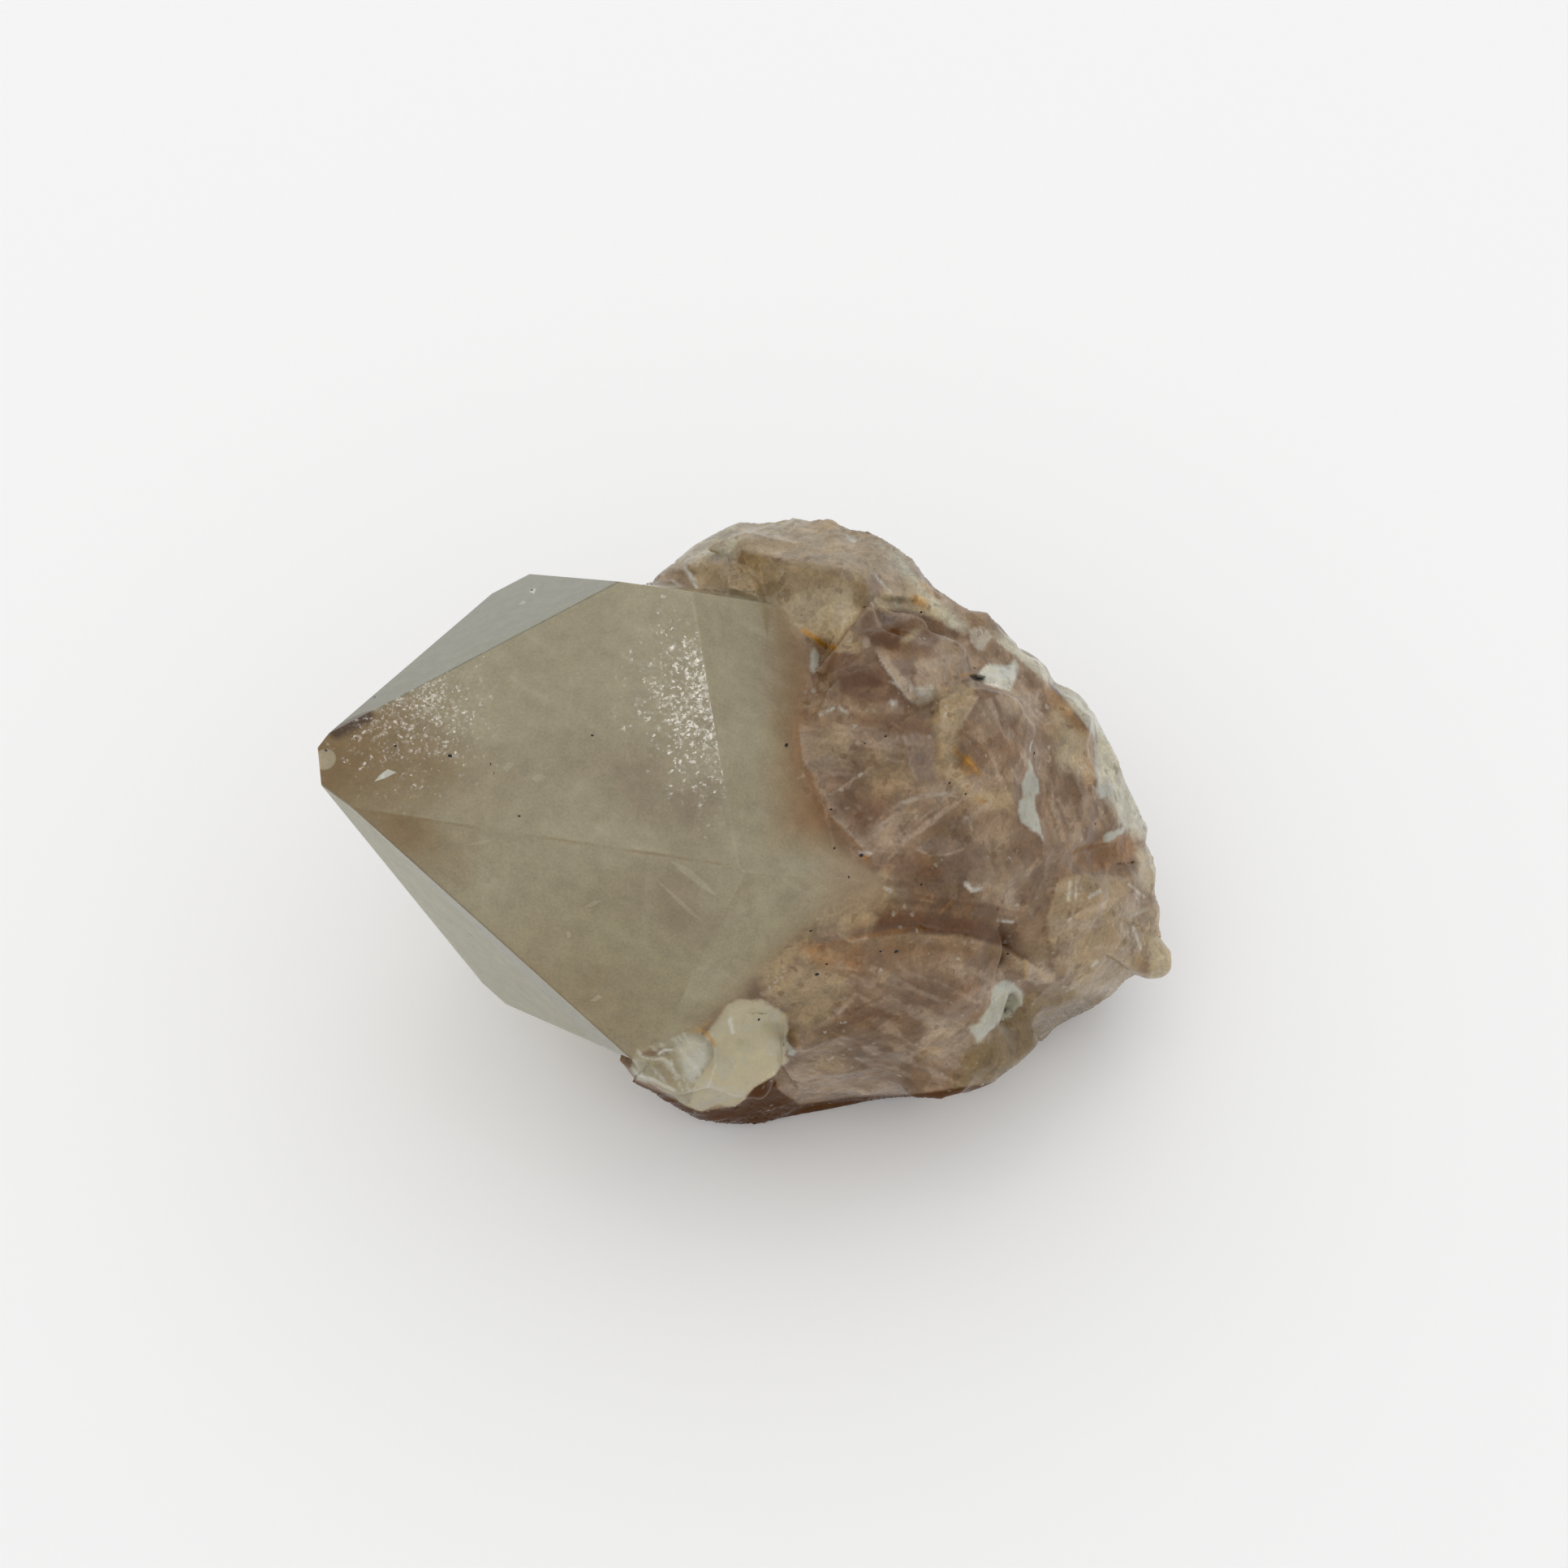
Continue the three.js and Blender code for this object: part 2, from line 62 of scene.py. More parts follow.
RISE = np.array([0.0, math.sin(EYE_ELEVATION), math.cos(EYE_ELEVATION)])
OUT = np.array([0.0, -math.cos(EYE_ELEVATION), math.sin(EYE_ELEVATION)])


def seen(right, rise, out):
    """The place that the ruler shows at right and rise, this far out: nearer things look larger."""
    nearer = 1 - out * MM / EYE_DISTANCE
    return RULER_MIDDLE + MM * (right * nearer * RIGHT + rise * nearer * RISE + out * OUT)


def on_ruler(places):
    """What the ruler shows for each place: its right, its rise and how far out it is, in millimetres."""
    away = places - RULER_MIDDLE
    out = away @ OUT
    nearer = 1 - out / EYE_DISTANCE
    return np.stack([(away @ RIGHT) / nearer, (away @ RISE) / nearer, out], axis=1) / MM


# The specimen's skin
# One natural piece of quartz, grown together and then broken from its rock. The solid's skin is laid out
# again in fine even cells that keep its sharp edges, so that the broken root can be worked over.
CELLS_DEPTH = 9
CELLS_SCALE = 0.64


def fine_skin(node):
    """A copy of the solid's skin, its doubled corners merged, laid out again in cells."""
    source = bpy.data.objects.new("skin_source", node.data.copy())
    bpy.context.scene.collection.objects.link(source)
    build = bmesh.new()
    build.from_mesh(source.data)
    bmesh.ops.remove_doubles(build, verts=build.verts, dist=0.001 * MM)
    build.to_mesh(source.data)
    build.free()
    cells = source.modifiers.new("cells", "REMESH")
    cells.mode = "SHARP"
    cells.octree_depth = CELLS_DEPTH
    cells.scale = CELLS_SCALE
    cells.sharpness = 1.0
    cells.use_remove_disconnected = True
    cells.threshold = 0.5
    laid = bpy.data.meshes.new_from_object(source.evaluated_get(bpy.context.evaluated_depsgraph_get()))
    bpy.data.objects.remove(source)
    return laid


skin = fine_skin(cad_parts["citrine_cluster"])
skin_object = bpy.data.objects.new("skin", skin)
bpy.context.scene.collection.objects.link(skin_object)
count = len(skin.vertices)
places = np.empty(3 * count)
skin.vertices.foreach_get("co", places)
places = places.reshape(-1, 3)
ends = np.empty(2 * len(skin.edges), dtype=np.int32)
skin.edges.foreach_get("vertices", ends)
ends = ends.reshape(-1, 2)
cell = float(np.median(np.linalg.norm(places[ends[:, 0]] - places[ends[:, 1]], axis=1)))


def outward(places):
    """The skin's outward direction at each vertex, once its places are set."""
    skin.vertices.foreach_set("co", places.ravel())
    skin.update()
    normals = np.empty(3 * count)
    skin.vertices.foreach_get("normal", normals)
    return normals.reshape(-1, 3)


def softened(places, reach):
    """The places after each is blended with its neighbours, again and again, until over about this reach."""
    skin.vertices.foreach_set("co", places.ravel())
    skin.update()
    soften = skin_object.modifiers.new("soften", "SMOOTH")
    soften.factor = 0.7
    soften.iterations = max(1, int(round((reach / cell) ** 2 / 0.7)))
    evaluated = skin_object.evaluated_get(bpy.context.evaluated_depsgraph_get())
    moved = np.empty(3 * count)
    evaluated.data.vertices.foreach_get("co", moved)
    skin_object.modifiers.remove(soften)
    return moved.reshape(-1, 3)


def ease(low, high, value):
    """0 below low, 1 above high, and a smooth rise between them."""
    part = np.clip((value - low) / (high - low), 0, 1)
    return part * part * (3 - 2 * part)


# The main point
# A stout six-sided quartz point, hazy olive and a little smoky at its tip. Its faces grew flat: six prism
# faces round its axis, and above each a cap face that leans in by the fixed angle of quartz.
CAP_LEAN = math.radians(38.2)
POINT_MIDDLE = (-18.7, -2.2, 0)
POINT_SWING = math.radians(5.8)
POINT_REACH = math.radians(35.6)
POINT_ROLL = math.radians(6.9)
PRISM_OFFSETS = (21.1, 20, 22.2, 21.1, 20.5, 19.5)
CAP_HEIGHTS = (30.2, 23.8, 26.1, 25.9, 27.5, 31.2)
POINT_FOOT = (10, -9, 12)


def point_faces():
    """Outward normals of the twelve faces, six prism and six cap, their distances from the origin, and the
    point's axis."""
    level = math.cos(POINT_REACH)
    axis = (-level * math.cos(POINT_SWING)) * RIGHT + level * math.sin(POINT_SWING) * RISE
    axis = axis + math.sin(POINT_REACH) * OUT
    middle = RULER_MIDDLE + MM * (POINT_MIDDLE[0] * RIGHT + POINT_MIDDLE[1] * RISE + POINT_MIDDLE[2] * OUT)
    first = RISE - (RISE @ axis) * axis
    first /= np.linalg.norm(first)
    beside = np.cross(first, axis)
    turns = POINT_ROLL + np.radians(60) * np.arange(6)
    prism = np.cos(turns)[:, None] * first + np.sin(turns)[:, None] * beside
    cap = math.cos(CAP_LEAN) * prism + math.sin(CAP_LEAN) * axis
    prism_reach = prism @ middle + MM * np.array(PRISM_OFFSETS)
    cap_reach = cap @ middle + MM * np.array(CAP_HEIGHTS) * (cap @ axis)
    return np.vstack([prism, cap]), np.concatenate([prism_reach, cap_reach]), axis


FACE_NORMALS, FACE_REACHES, POINT_AXIS = point_faces()


def off_point(places):
    """How far each place stands off the main point's faces, or past its foot, in metres; on them or inside the
    point it is 0 or less."""
    past_foot = (seen(*POINT_FOOT) - places) @ POINT_AXIS
    return np.maximum((places @ FACE_NORMALS.T - FACE_REACHES).max(axis=1), past_foot)


# The root's shape
# Smaller crystals and broken quartz grown round the point's foot run into each other and into the point.
# Crevices between the solid's lumps are filled, and the lumps on the display side are melted together.
FILLS = (1.2, 2.4, 3.6, 4.5)
for reach in FILLS:
    soft_places = softened(places, reach * MM)
    soft_normals = outward(soft_places)
    lift = np.sum((soft_places - places) * soft_normals, axis=1)
    places = places + np.maximum(lift - 0.01 * MM, 0)[:, None] * soft_normals

shown = on_ruler(places)
normals = outward(places)
faces_eye = ease(-0.05, 0.2, normals @ OUT)
rough = ease(0.05 * MM, 0.9 * MM, off_point(places))


def near_to(corners, around):
    """Whether each vertex faces the eye and is this near to the box round the corners, in millimetres."""
    past_low = shown[:, :2] > corners.min(axis=0) - around
    before_high = shown[:, :2] < corners.max(axis=0) + around
    return np.all(past_low & before_high, axis=1) & (faces_eye > 0)


def within(outline, around=3.0):
    """How far inside an outline on the display side each vertex is, in millimetres, and less than 0 outside:
    the distance to the nearest side, signed by whether a level line from the vertex crosses the outline an
    odd number of times. Beyond the distance named by around it isn't worked out."""
    corners = np.array(outline, dtype=float)
    nearby = near_to(corners, around)
    spots = shown[nearby, :2]
    nearest = np.full(len(spots), float(around))
    inside = np.zeros(len(spots), dtype=bool)
    for start, end in zip(corners, np.roll(corners, -1, axis=0)):
        along = end - start
        away = spots - start
        share = np.clip(away @ along / max(along @ along, 1e-9), 0, 1)
        nearest = np.minimum(nearest, np.hypot(*(away - share[:, None] * along).T))
        spans = (start[1] > spots[:, 1]) != (end[1] > spots[:, 1])
        slope = along[0] / (along[1] if along[1] else 1)
        inside ^= spans & (spots[:, 0] < start[0] + (spots[:, 1] - start[1]) * slope)
    deep = np.full(count, -float(around))
    deep[nearby] = np.where(inside, nearest, -nearest)
    return deep


def beside(path, around=4.0):
    """Each vertex's distance, in millimetres, from a path over the display side, and which side of it the
    vertex is on: 1 to the left of the way it runs, -1 to the right."""
    corners = np.array(path, dtype=float)
    nearby = near_to(corners, around)
    spots = shown[nearby, :2]
    nearest = np.full(len(spots), float(around))
    left = np.zeros(len(spots))
    for start, end in zip(corners, corners[1:]):
        along = end - start
        away = spots - start
        share = np.clip(away @ along / (along @ along), 0, 1)
        distance = np.hypot(*(away - share[:, None] * along).T)
        turn = along[0] * away[:, 1] - along[1] * away[:, 0]
        closer = distance < nearest
        nearest[closer] = distance[closer]
        left[closer] = np.sign(turn[closer])
    distances, sides = np.full(count, float(around)), np.zeros(count)
    distances[nearby], sides[nearby] = nearest, left
    return distances, sides


def stroke(path, width):
    """A line along a path over the display side: 1 at its middle, falling to 0 at half its width."""
    return ease(-width / 2, -0.1 * width, -beside(path)[0]) * faces_eye


# Lumps that run into each other on the display side: outlines
MELTED = (
    ((3.7, 6.2), (7.1, 8.1), (10.9, 12.6), (16.3, 13.4), (18.9, 8.8), (23.9, 5), (27.7, 0.5), (28.4, -5.6),
     (29.9, -10.9), (28.4, -15.5), (24.6, -18.5), (21.6, -21.6), (17, -24.6), (11.7, -25.4), (7.1, -25.4),
     (3.3, -21.6), (2.6, -16.3), (4.9, -11.7), (6.4, -7.1), (4.1, -1.1)),
    ((-7.9, 20.2), (-5, 22.6), (-1.2, 21), (-0.5, 17.6), (-5, 17.6), (-7.7, 18.1)),
    ((1.8, 15.7), (4.9, 14.5), (4.9, 10.3), (2.6, 8.1), (0.7, 10.3)),
    ((11.7, 11.1), (17, 11.1), (17.8, 5), (10.9, 5)),
)
melt = np.maximum.reduce([ease(-0.8, 1.6, within(outline)) for outline in MELTED]) * rough
for _ in range(2):
    places = places + melt[:, None] * (softened(places, 2.5 * MM) - places)

# Deep clefts between two lumps, closed: outlines
HEALED = (
    ((18.9, -10.2), (24.6, -10.6), (25.4, -18.5), (22.7, -24.6), (18.9, -24.2), (17.8, -17.8)),
    ((8.8, 17.3), (14.7, 16.8), (16.4, 14.5), (14, 13.5), (9.4, 15)),
)
heal = np.maximum.reduce([ease(-0.8, 0.8, within(outline)) for outline in HEALED]) * rough
for _ in range(2):
    places = places + heal[:, None] * (softened(places, 5 * MM) - places)

# Pits that are left, lifted towards the eye to the plane that fits their rim best: outlines
shown = on_ruler(places)
faces_eye = np.ones(count)
in_sight = outward(places) @ OUT > 0.3
LEVELLED = (
    ((-5.5, 20.1), (-3.1, 20.2), (-2.1, 18.5), (-2.1, 17), (-3.9, 17.3), (-5.3, 17.8)),
    ((8.1, 17.9), (10.9, 18.1), (14.4, 17.3), (17.8, 14.5), (17.2, 13), (14, 13.4), (10.9, 14.5),
     (8.7, 15.5)),
    ((18.9, -18.2), (21.2, -17.6), (23.5, -18.9), (23.3, -21.7), (21.2, -23), (18.9, -21.6)),
    ((17.8, -10.6), (22.5, -10.8), (26.3, -14), (26.3, -18.2), (23.5, -18.7), (20.1, -18.4), (18.2, -15.5)),
    ((29.6, -5.3), (32.2, -4.9), (33.9, -6.4), (33.3, -8.4), (31.1, -8.8), (29.6, -7.6)),
)
for outline in LEVELLED:
    deep = within(outline)
    rim = (deep > -1.0) & (deep < -0.3) & in_sight
    flat = np.column_stack([shown[:, :2], np.ones(count)])
    lack = flat @ np.linalg.lstsq(flat[rim], shown[rim, 2], rcond=None)[0] - shown[:, 2]
    share = ease(-0.5, 0.5, deep) * ease(8, 6, lack)
    places = places + MM * (share * np.maximum(lack, 0))[:, None] * OUT

# The rest is softened, less so on the crystal behind the point
CRYSTAL_BEHIND = ((-10.3, 21), (-4.6, 24), (2.6, 25.5), (7.9, 24.8), (14, 18.7), (14, 15.7), (9, 12.6),
                  (7.1, 8.8), (2.6, 8.1), (1.4, 12.6))
off_crystal = 1 - ease(-0.5, 0.5, within(CRYSTAL_BEHIND))
places = places + (0.9 * rough * off_crystal)[:, None] * (softened(places, 2.2 * MM) - places)
places = places + (0.5 * rough)[:, None] * (softened(places, 0.4 * MM) - places)


def cell_numbers(cells, seed):
    """A repeatable number from 0 to 1 for each whole-numbered cell: its three counts mixed bit by bit."""
    x, y, z = (cells[..., k].astype(np.int64) for k in range(3))
    mixed = (x * 73856093) ^ (y * 19349663) ^ (z * 83492791) ^ (seed * 2654435761)
    mixed = (mixed ^ (mixed >> 13)) * 1274126177 & 0xFFFFFFFF
    mixed = (mixed ^ (mixed >> 16)) * 2246822519 & 0xFFFFFFFF
    return ((mixed ^ (mixed >> 15)) & 0xFFFFFF) / 0xFFFFFF


def soft_noise(places, size, seed):
    """Smooth noise from -1 to 1: numbers at the corners of cubes of this size, blended across each cube."""
    scaled = places / size
    corner_cell = np.floor(scaled).astype(np.int64)
    part = scaled - corner_cell
    part = part * part * (3 - 2 * part)
    total = np.zeros(len(places))
    for corner in np.ndindex(2, 2, 2):
        weight = np.prod(np.where(corner, part, 1 - part), axis=1)
        total += weight * cell_numbers(corner_cell + corner, seed)
    return 2 * total - 1


def clouds(places, size, seed):
    """Cloudy noise from about -1 to 1: three soft noises, each half the size and strength of the last."""
    return sum(soft_noise(places, size / 2**k, seed + k) / 2**k for k in range(3)) / 1.2


def shell_hollows(places, size, seed, tilt=0.8):
    """Shell-like breaks: each scattered centre has a shallow bowl with a slope of its own, and the surface is
    the lowest bowl at each place, so smooth hollows meet at crests. Gives the height, about -1 to 1, and a
    number from 0 to 1 for the bowl that each place lies in."""
    scaled = places / size
    own_cell = np.floor(scaled).astype(np.int64)
    lowest = np.full(len(places), np.inf)
    number = np.zeros(len(places))
    for step in np.ndindex(3, 3, 3):
        other = own_cell + np.array(step) - 1
        jitter = np.stack([cell_numbers(other, seed + k) for k in range(3)], axis=1)
        away = scaled - other - jitter
        slope = np.stack([cell_numbers(other, seed + 10 + k) for k in range(3)], axis=1) - 0.5
        bowl = np.sum(away * away, axis=1) + tilt * np.sum(away * slope, axis=1)
        number = np.where(bowl < lowest, cell_numbers(other, seed + 20), number)
        lowest = np.minimum(lowest, bowl)
    return 2.2 * lowest - 0.9, number


# Shell-like breaks over the root, larger ones first and smaller ones in them
normals = outward(places)
shown = on_ruler(places)
faces_eye = ease(-0.05, 0.2, normals @ OUT)
stands = ease(0.2 * MM, 1.5 * MM, places[:, 2])
worked = np.flatnonzero(rough > 0)
warped = places[worked]
warped = warped + 0.8 * MM * np.stack([soft_noise(warped, 3 * MM, 300 + k) for k in range(3)], axis=1)
grain, large_breaks, small_breaks = np.zeros(count), np.full(count, 0.5), np.full(count, 0.5)
large_hollows, large_breaks[worked] = shell_hollows(warped, 5.2 * MM, 20)
small_hollows, small_breaks[worked] = shell_hollows(warped, 2.3 * MM, 40)
grain[worked] = 0.16 * soft_noise(warped, 6 * MM, 1) + 0.2 * large_hollows + 0.1 * small_hollows
grain *= rough * stands * (0.25 + 0.75 * off_crystal)
relief = np.zeros(count)

# The edge of the plate beside the point, the crest over the lower mass, and four small lumps
PLATE_EDGE = ((1.5, 4.7), (1.8, 2.4), (2.4, 1.3), (3.2, 0.4), (3.5, -0.3), (4.5, -3), (5.9, -4.4), (7, -5.5),
              (7.9, -6.7))
LOWER_CREST = ((22.3, -16.3), (20.4, -15.1), (17, -14.1), (12.7, -13.8), (7.2, -14.4), (2.6, -15.6))
BUD = ((12.5, -6), (14, -5), (16.3, -5), (16.8, -6), (15.1, -6.6), (13.2, -6.6))
PALE_BUD = ((16.9, -9.4), (17.4, -8.1), (19.5, -7.6), (20, -8.3), (19.2, -9.6), (17.8, -10.1))
FOOT_BUD = ((4.9, -13.6), (5.6, -12.1), (7.5, -11.7), (8.6, -12.5), (7.9, -14.4), (6, -14.9))
PALE_CHIP = ((22.6, -16.5), (23.1, -16.1), (23.9, -16.4), (25.4, -17.8), (25.4, -18.6), (23.6, -18.8),
             (22.6, -18.3))

# Ledges where a shell of quartz broke away: rise above the other side, reach and path, the higher side left
ledges = (
    (0.3, 2.5, PLATE_EDGE),
    (0.35, 3.0, ((9, 11.7), (11.5, 8.1), (13.8, 7.9))),
    (0.2, 2.0, ((8.4, 1.7), (4.5, -0.8))),
    (0.25, 2.0, ((14.1, 5.5), (16.4, 5.2), (18.1, 8.1))),
    (0.25, 3.0, LOWER_CREST),
    (0.35, 3.0, ((31.8, -8.7), (27.7, -8.3), (25.7, -9), (24.6, -12.5), (25.1, -16.6))),
    (0.2, 1.5, ((6.6, -19.7), (6.1, -20.4), (2.4, -23))),
    (0.25, 2.0, ((18.4, -18.9), (14, -17.4), (10.5, -17.8))),
    (0.25, 2.0, ((27.7, 4.6), (25.4, 2.7), (24.6, -1.8), (26.5, -5.6))),
)
for drop, reach, path in ledges:
    distance, side = beside(path)
    ends_off = np.clip(1 - distance / reach, 0, 1) ** 2
    relief += drop * rough * ease(-0.35, 0.35, side * distance) * ends_off

# Small lumps of quartz on the broken side: how proud, and outline
lumps = (
    (0.3, BUD),
    (0.35, PALE_BUD),
    (0.4, FOOT_BUD),
    (0.3, PALE_CHIP),
    (0.3, ((0.3, -24.6), (1.4, -24.4), (2.7, -23.6), (2.3, -24.3), (1.4, -25.2), (0.5, -25.5))),
)
for proud, outline in lumps:
    relief += proud * rough * ease(-0.3, 0.6, within(outline))

# Grooves between the masses of the root: depth, width and path
grooves = (
    (0.5, 2.4, ((27.3, -7.1), (29.9, -6.4), (33, -6))),
    (0.3, 0.9, LOWER_CREST[-3::-1]),
    (0.25, 1.2, ((2.6, -15.6), (7.2, -14.4), (10.2, -13.8), (12.7, -13.5))),
)
for depth, width, path in grooves:
    relief -= depth * rough * stroke(path, width)

# White flakes of bruised quartz, standing a little proud: outlines on the display side
FLAKE_RISE = 0.22
flakes = (
    ((23.2, 4), (23, 2.4), (23.5, 0.8), (23.9, 0.4), (23.9, -0.8), (23.5, -1), (23.6, -2.6), (24.2, -5.3),
     (23, -4.2), (22, -3.5), (21.7, -2.4), (22.3, -1.2), (22.3, 0.2), (22.8, 1.3)),
    ((20.8, -18.3), (21.5, -18.6), (22.3, -19.7), (22.3, -20.7), (21, -21.5), (20.2, -22), (19.2, -23),
     (18.2, -24.5), (17.9, -23.6), (17.2, -22.8), (18.4, -22.3), (19.2, -21), (19.7, -19.9), (19.8, -19)),
    ((29.6, -5.5), (30.1, -4.6), (31.5, -4), (31.3, -4.6), (30.2, -5.5)),
    ((28.9, 0.8), (29.3, 0), (30.6, -0.3), (30.6, -1.2), (29.2, -1.4), (28.9, -0.5)),
    ((18.2, 10.3), (19, 11.1), (20.2, 10.8), (21.3, 11.1), (21.5, 10), (21.1, 9), (20.2, 9.3), (19.2, 9.4),
     (18.4, 9.7)),
    ((2.4, 12.6), (2.9, 12.8), (3.3, 12.2), (3.2, 11.2), (2.8, 10.2), (2.4, 10.9)),
    ((0.3, -24.4), (0.9, -24.2), (1.1, -24.8), (0.9, -25.5), (0.4, -25.3)),
)
white = np.zeros(count)
ragged = 0.14 * soft_noise(places, 0.5 * MM, 650)
for outline in flakes:
    deep = within(outline) + ragged
    relief += FLAKE_RISE * ease(-0.25, 0.25, deep)
    white = np.maximum(white, ease(-0.1, 0.1, deep))

# A hole beside the white crystal patch, dented in and painted black as painted shade
HOLE = ((17.3, 10.2), (17.9, 10.2), (18.8, 10), (18.7, 9.6), (17.9, 9.7), (17.3, 10))
hole = ease(-0.1, 0.2, within(HOLE))
relief -= 0.9 * hole

# The nodules under the point
# A round cream-white disc of fine quartz sits under the point like a drop, with a clear shell beside it that
# is hollow at its left end.
DISC = ((-5.3, -20.6), (-4.2, -20.1), (-2.1, -20.1), (-1, -20.8), (0.1, -21.5), (0.5, -22.8), (0.6, -24.1),
        (0.1, -25.4), (0.5, -25.9), (-0.5, -26.8), (-1.5, -27.4), (-2.8, -28.3), (-3.6, -29.3), (-4.6, -30.1),
        (-5.7, -30), (-6.2, -30), (-7.5, -30.4), (-8.9, -30.1), (-8.2, -27.7), (-6.5, -25.4), (-6.6, -24.4),
        (-7.4, -23.6), (-6.2, -22))
SHELL = ((-13.8, -24.9), (-12.2, -24.4), (-8.9, -23), (-7.8, -23.3), (-6.6, -24.4), (-6.5, -25.4),
         (-8.2, -27.7), (-8.9, -30.1), (-9.4, -29.9), (-11.7, -28.3), (-14.4, -27))
POCKET = ((-13.5, -25.2), (-12.6, -24.7), (-10.4, -24.6), (-10.9, -25.3), (-12.2, -25.7), (-13.2, -25.6))
disc, shell = within(DISC), within(SHELL)
pocket = ease(-0.3, 0.5, within(POCKET))
relief += 0.6 * ease(-0.3, 0.9, disc) + 0.4 * ease(-0.3, 0.7, shell) - 0.5 * pocket

places = places + MM * (relief * faces_eye)[:, None] * OUT + MM * grain[:, None] * normals

# The root's outline as the display side shows it, its scallops and notches included: places on the ruler
ROOT_CENTRE = (12, -4)
ROOT_OUTLINE = (
    (-14, 19), (-12.5, 19.1), (-11.2, 20.1), (-9.6, 21.4), (-8.4, 22.4), (-7, 23.2), (-5.6, 24), (-4.2, 24.6),
    (-2.5, 24.5), (-0.7, 24.6), (0.9, 25), (2.4, 24.7), (3.4, 24.9), (4.4, 24.9), (6.1, 24), (7.8, 23.8),
    (9.4, 23), (10.6, 22.3), (12, 21.3), (13.2, 19.6), (14.6, 18.2), (16.4, 16.9), (17.4, 16.3),
    (19.1, 16.1), (20.2, 15), (21.1, 13.9), (22, 12.9), (23.6, 12), (24.6, 11), (25.4, 9.6), (26.5, 9.1),
    (27.7, 8.4), (29.2, 6.5), (30.4, 4.2), (31.3, 2.3), (32, 0.2), (32.8, -1.4), (34.1, -4.1), (33.9, -5.4),
    (34.7, -6.8), (34.9, -8.3), (34.8, -10.1), (35.3, -11.8), (35.2, -13.3), (35.8, -14.7), (36.5, -15.9),
    (36.4, -17.2), (35.6, -18.3), (34.4, -18.5), (33, -17.9), (32, -18.5), (30.6, -19.9), (29, -21),
    (26.9, -22), (25.6, -22.7), (23.8, -24.5), (21.9, -26.3), (19.8, -27.9), (17.3, -28.9), (14.7, -29.5),
    (10.7, -29.4), (7.9, -29.7), (5, -30), (1.8, -30.5), (-0.1, -31.3), (-2.3, -32.1), (-4.2, -32.1),
    (-6.1, -31.9), (-7.9, -31.5), (-9.6, -30.7), (-12.7, -28.7), (-14.5, -27.9),
)


def stretched(places):
    """The places, with the root's rim moved on the ruler so that its outline is the one above. For each
    direction from the root's middle, radii are multiplied by the outline's over the rim's own radius, fully
    at the rim and less and less towards the middle."""
    spots = on_ruler(places)
    away = spots[:, :2] - ROOT_CENTRE
    angles, radii = np.arctan2(away[:, 1], away[:, 0]), np.hypot(*away.T)
    slots = ((angles + math.pi) / (2 * math.pi) * 720).astype(int) % 720
    rim = np.zeros(720)
    np.maximum.at(rim, slots, radii)
    rim = np.maximum(rim, np.maximum(np.roll(rim, 1), np.roll(rim, -1)))
    steps = np.linspace(0, 1, 12, endpoint=False)[:, None]
    traced = np.array(ROOT_OUTLINE) - ROOT_CENTRE
    traced = np.concatenate([start + steps * (end - start) for start, end in zip(traced, traced[1:])])
    traced_angles, traced_radii = np.arctan2(traced[:, 1], traced[:, 0]), np.hypot(*traced.T)
    order = np.argsort(traced_angles)
    wanted = np.interp(angles, traced_angles[order], traced_radii[order], left=0, right=0)
    scale = np.where(wanted > 0, wanted / rim[slots], 1)
    share = ease(0.7, 1.0, radii / rim[slots]) * rough * stands
    spots[:, :2] = ROOT_CENTRE + away * (1 + (scale - 1) * share)[:, None]
    nearer = MM - spots[:, 2] * MM**2 / EYE_DISTANCE
    along = spots[:, :1] * RIGHT + spots[:, 1:2] * RISE
    return RULER_MIDDLE + nearer[:, None] * along + spots[:, 2:] * MM * OUT


worked_over = np.maximum.reduce([rough, ease(-0.5, 0, disc), ease(-0.5, 0, shell), white])
places = places + worked_over[:, None] * (softened(places, 0.3 * MM) - places)
unstretched = places
places = stretched(places)
moved = np.linalg.norm(places - unstretched, axis=1)
places = places + (rough * ease(0.2 * MM, 1.2 * MM, moved))[:, None] * (softened(places, 0.6 * MM) - places)
places = np.clip(places, *(np.array(corner) for corner in cad_box))
normals = outward(places)
shown = on_ruler(places)
faces_eye = ease(-0.6, -0.3, normals @ OUT)

# Crests and dips, as height above the mean of the surroundings
crest = np.sum((places - softened(places, 0.6 * MM)) * normals, axis=1) / MM
dip = np.sum((softened(places, 2.0 * MM) - places) * normals, axis=1) / MM


# The stone's colours
# Hazy olive quartz in the point, smoky at its tip; pinkish beige in the crystal behind it; brownish purple
# and beige clouds in the broken root, with rust in its seams and a pale rim. The root's colours are painted
# on its vertices from outlines and paths over the display side, blended over clouds.


def linear(red, green, blue):
    """A colour as seen on a screen, 0 to 255, in the shader's own scale."""
    shares = np.array([red, green, blue]) / 255
    return np.where(shares <= 0.04045, shares / 12.92, ((shares + 0.055) / 1.055) ** 2.4)


# What the studio's light makes of a base colour: the share that is sent back, and the shine on top of it
SENT_BACK = 0.77
SHINE = 0.018


def looks(red, green, blue):
    """The base colour that looks like this one, 0 to 255, on the specimen in the studio's light."""
    return np.clip((linear(red, green, blue) - SHINE) / SENT_BACK, 0.002, 1)


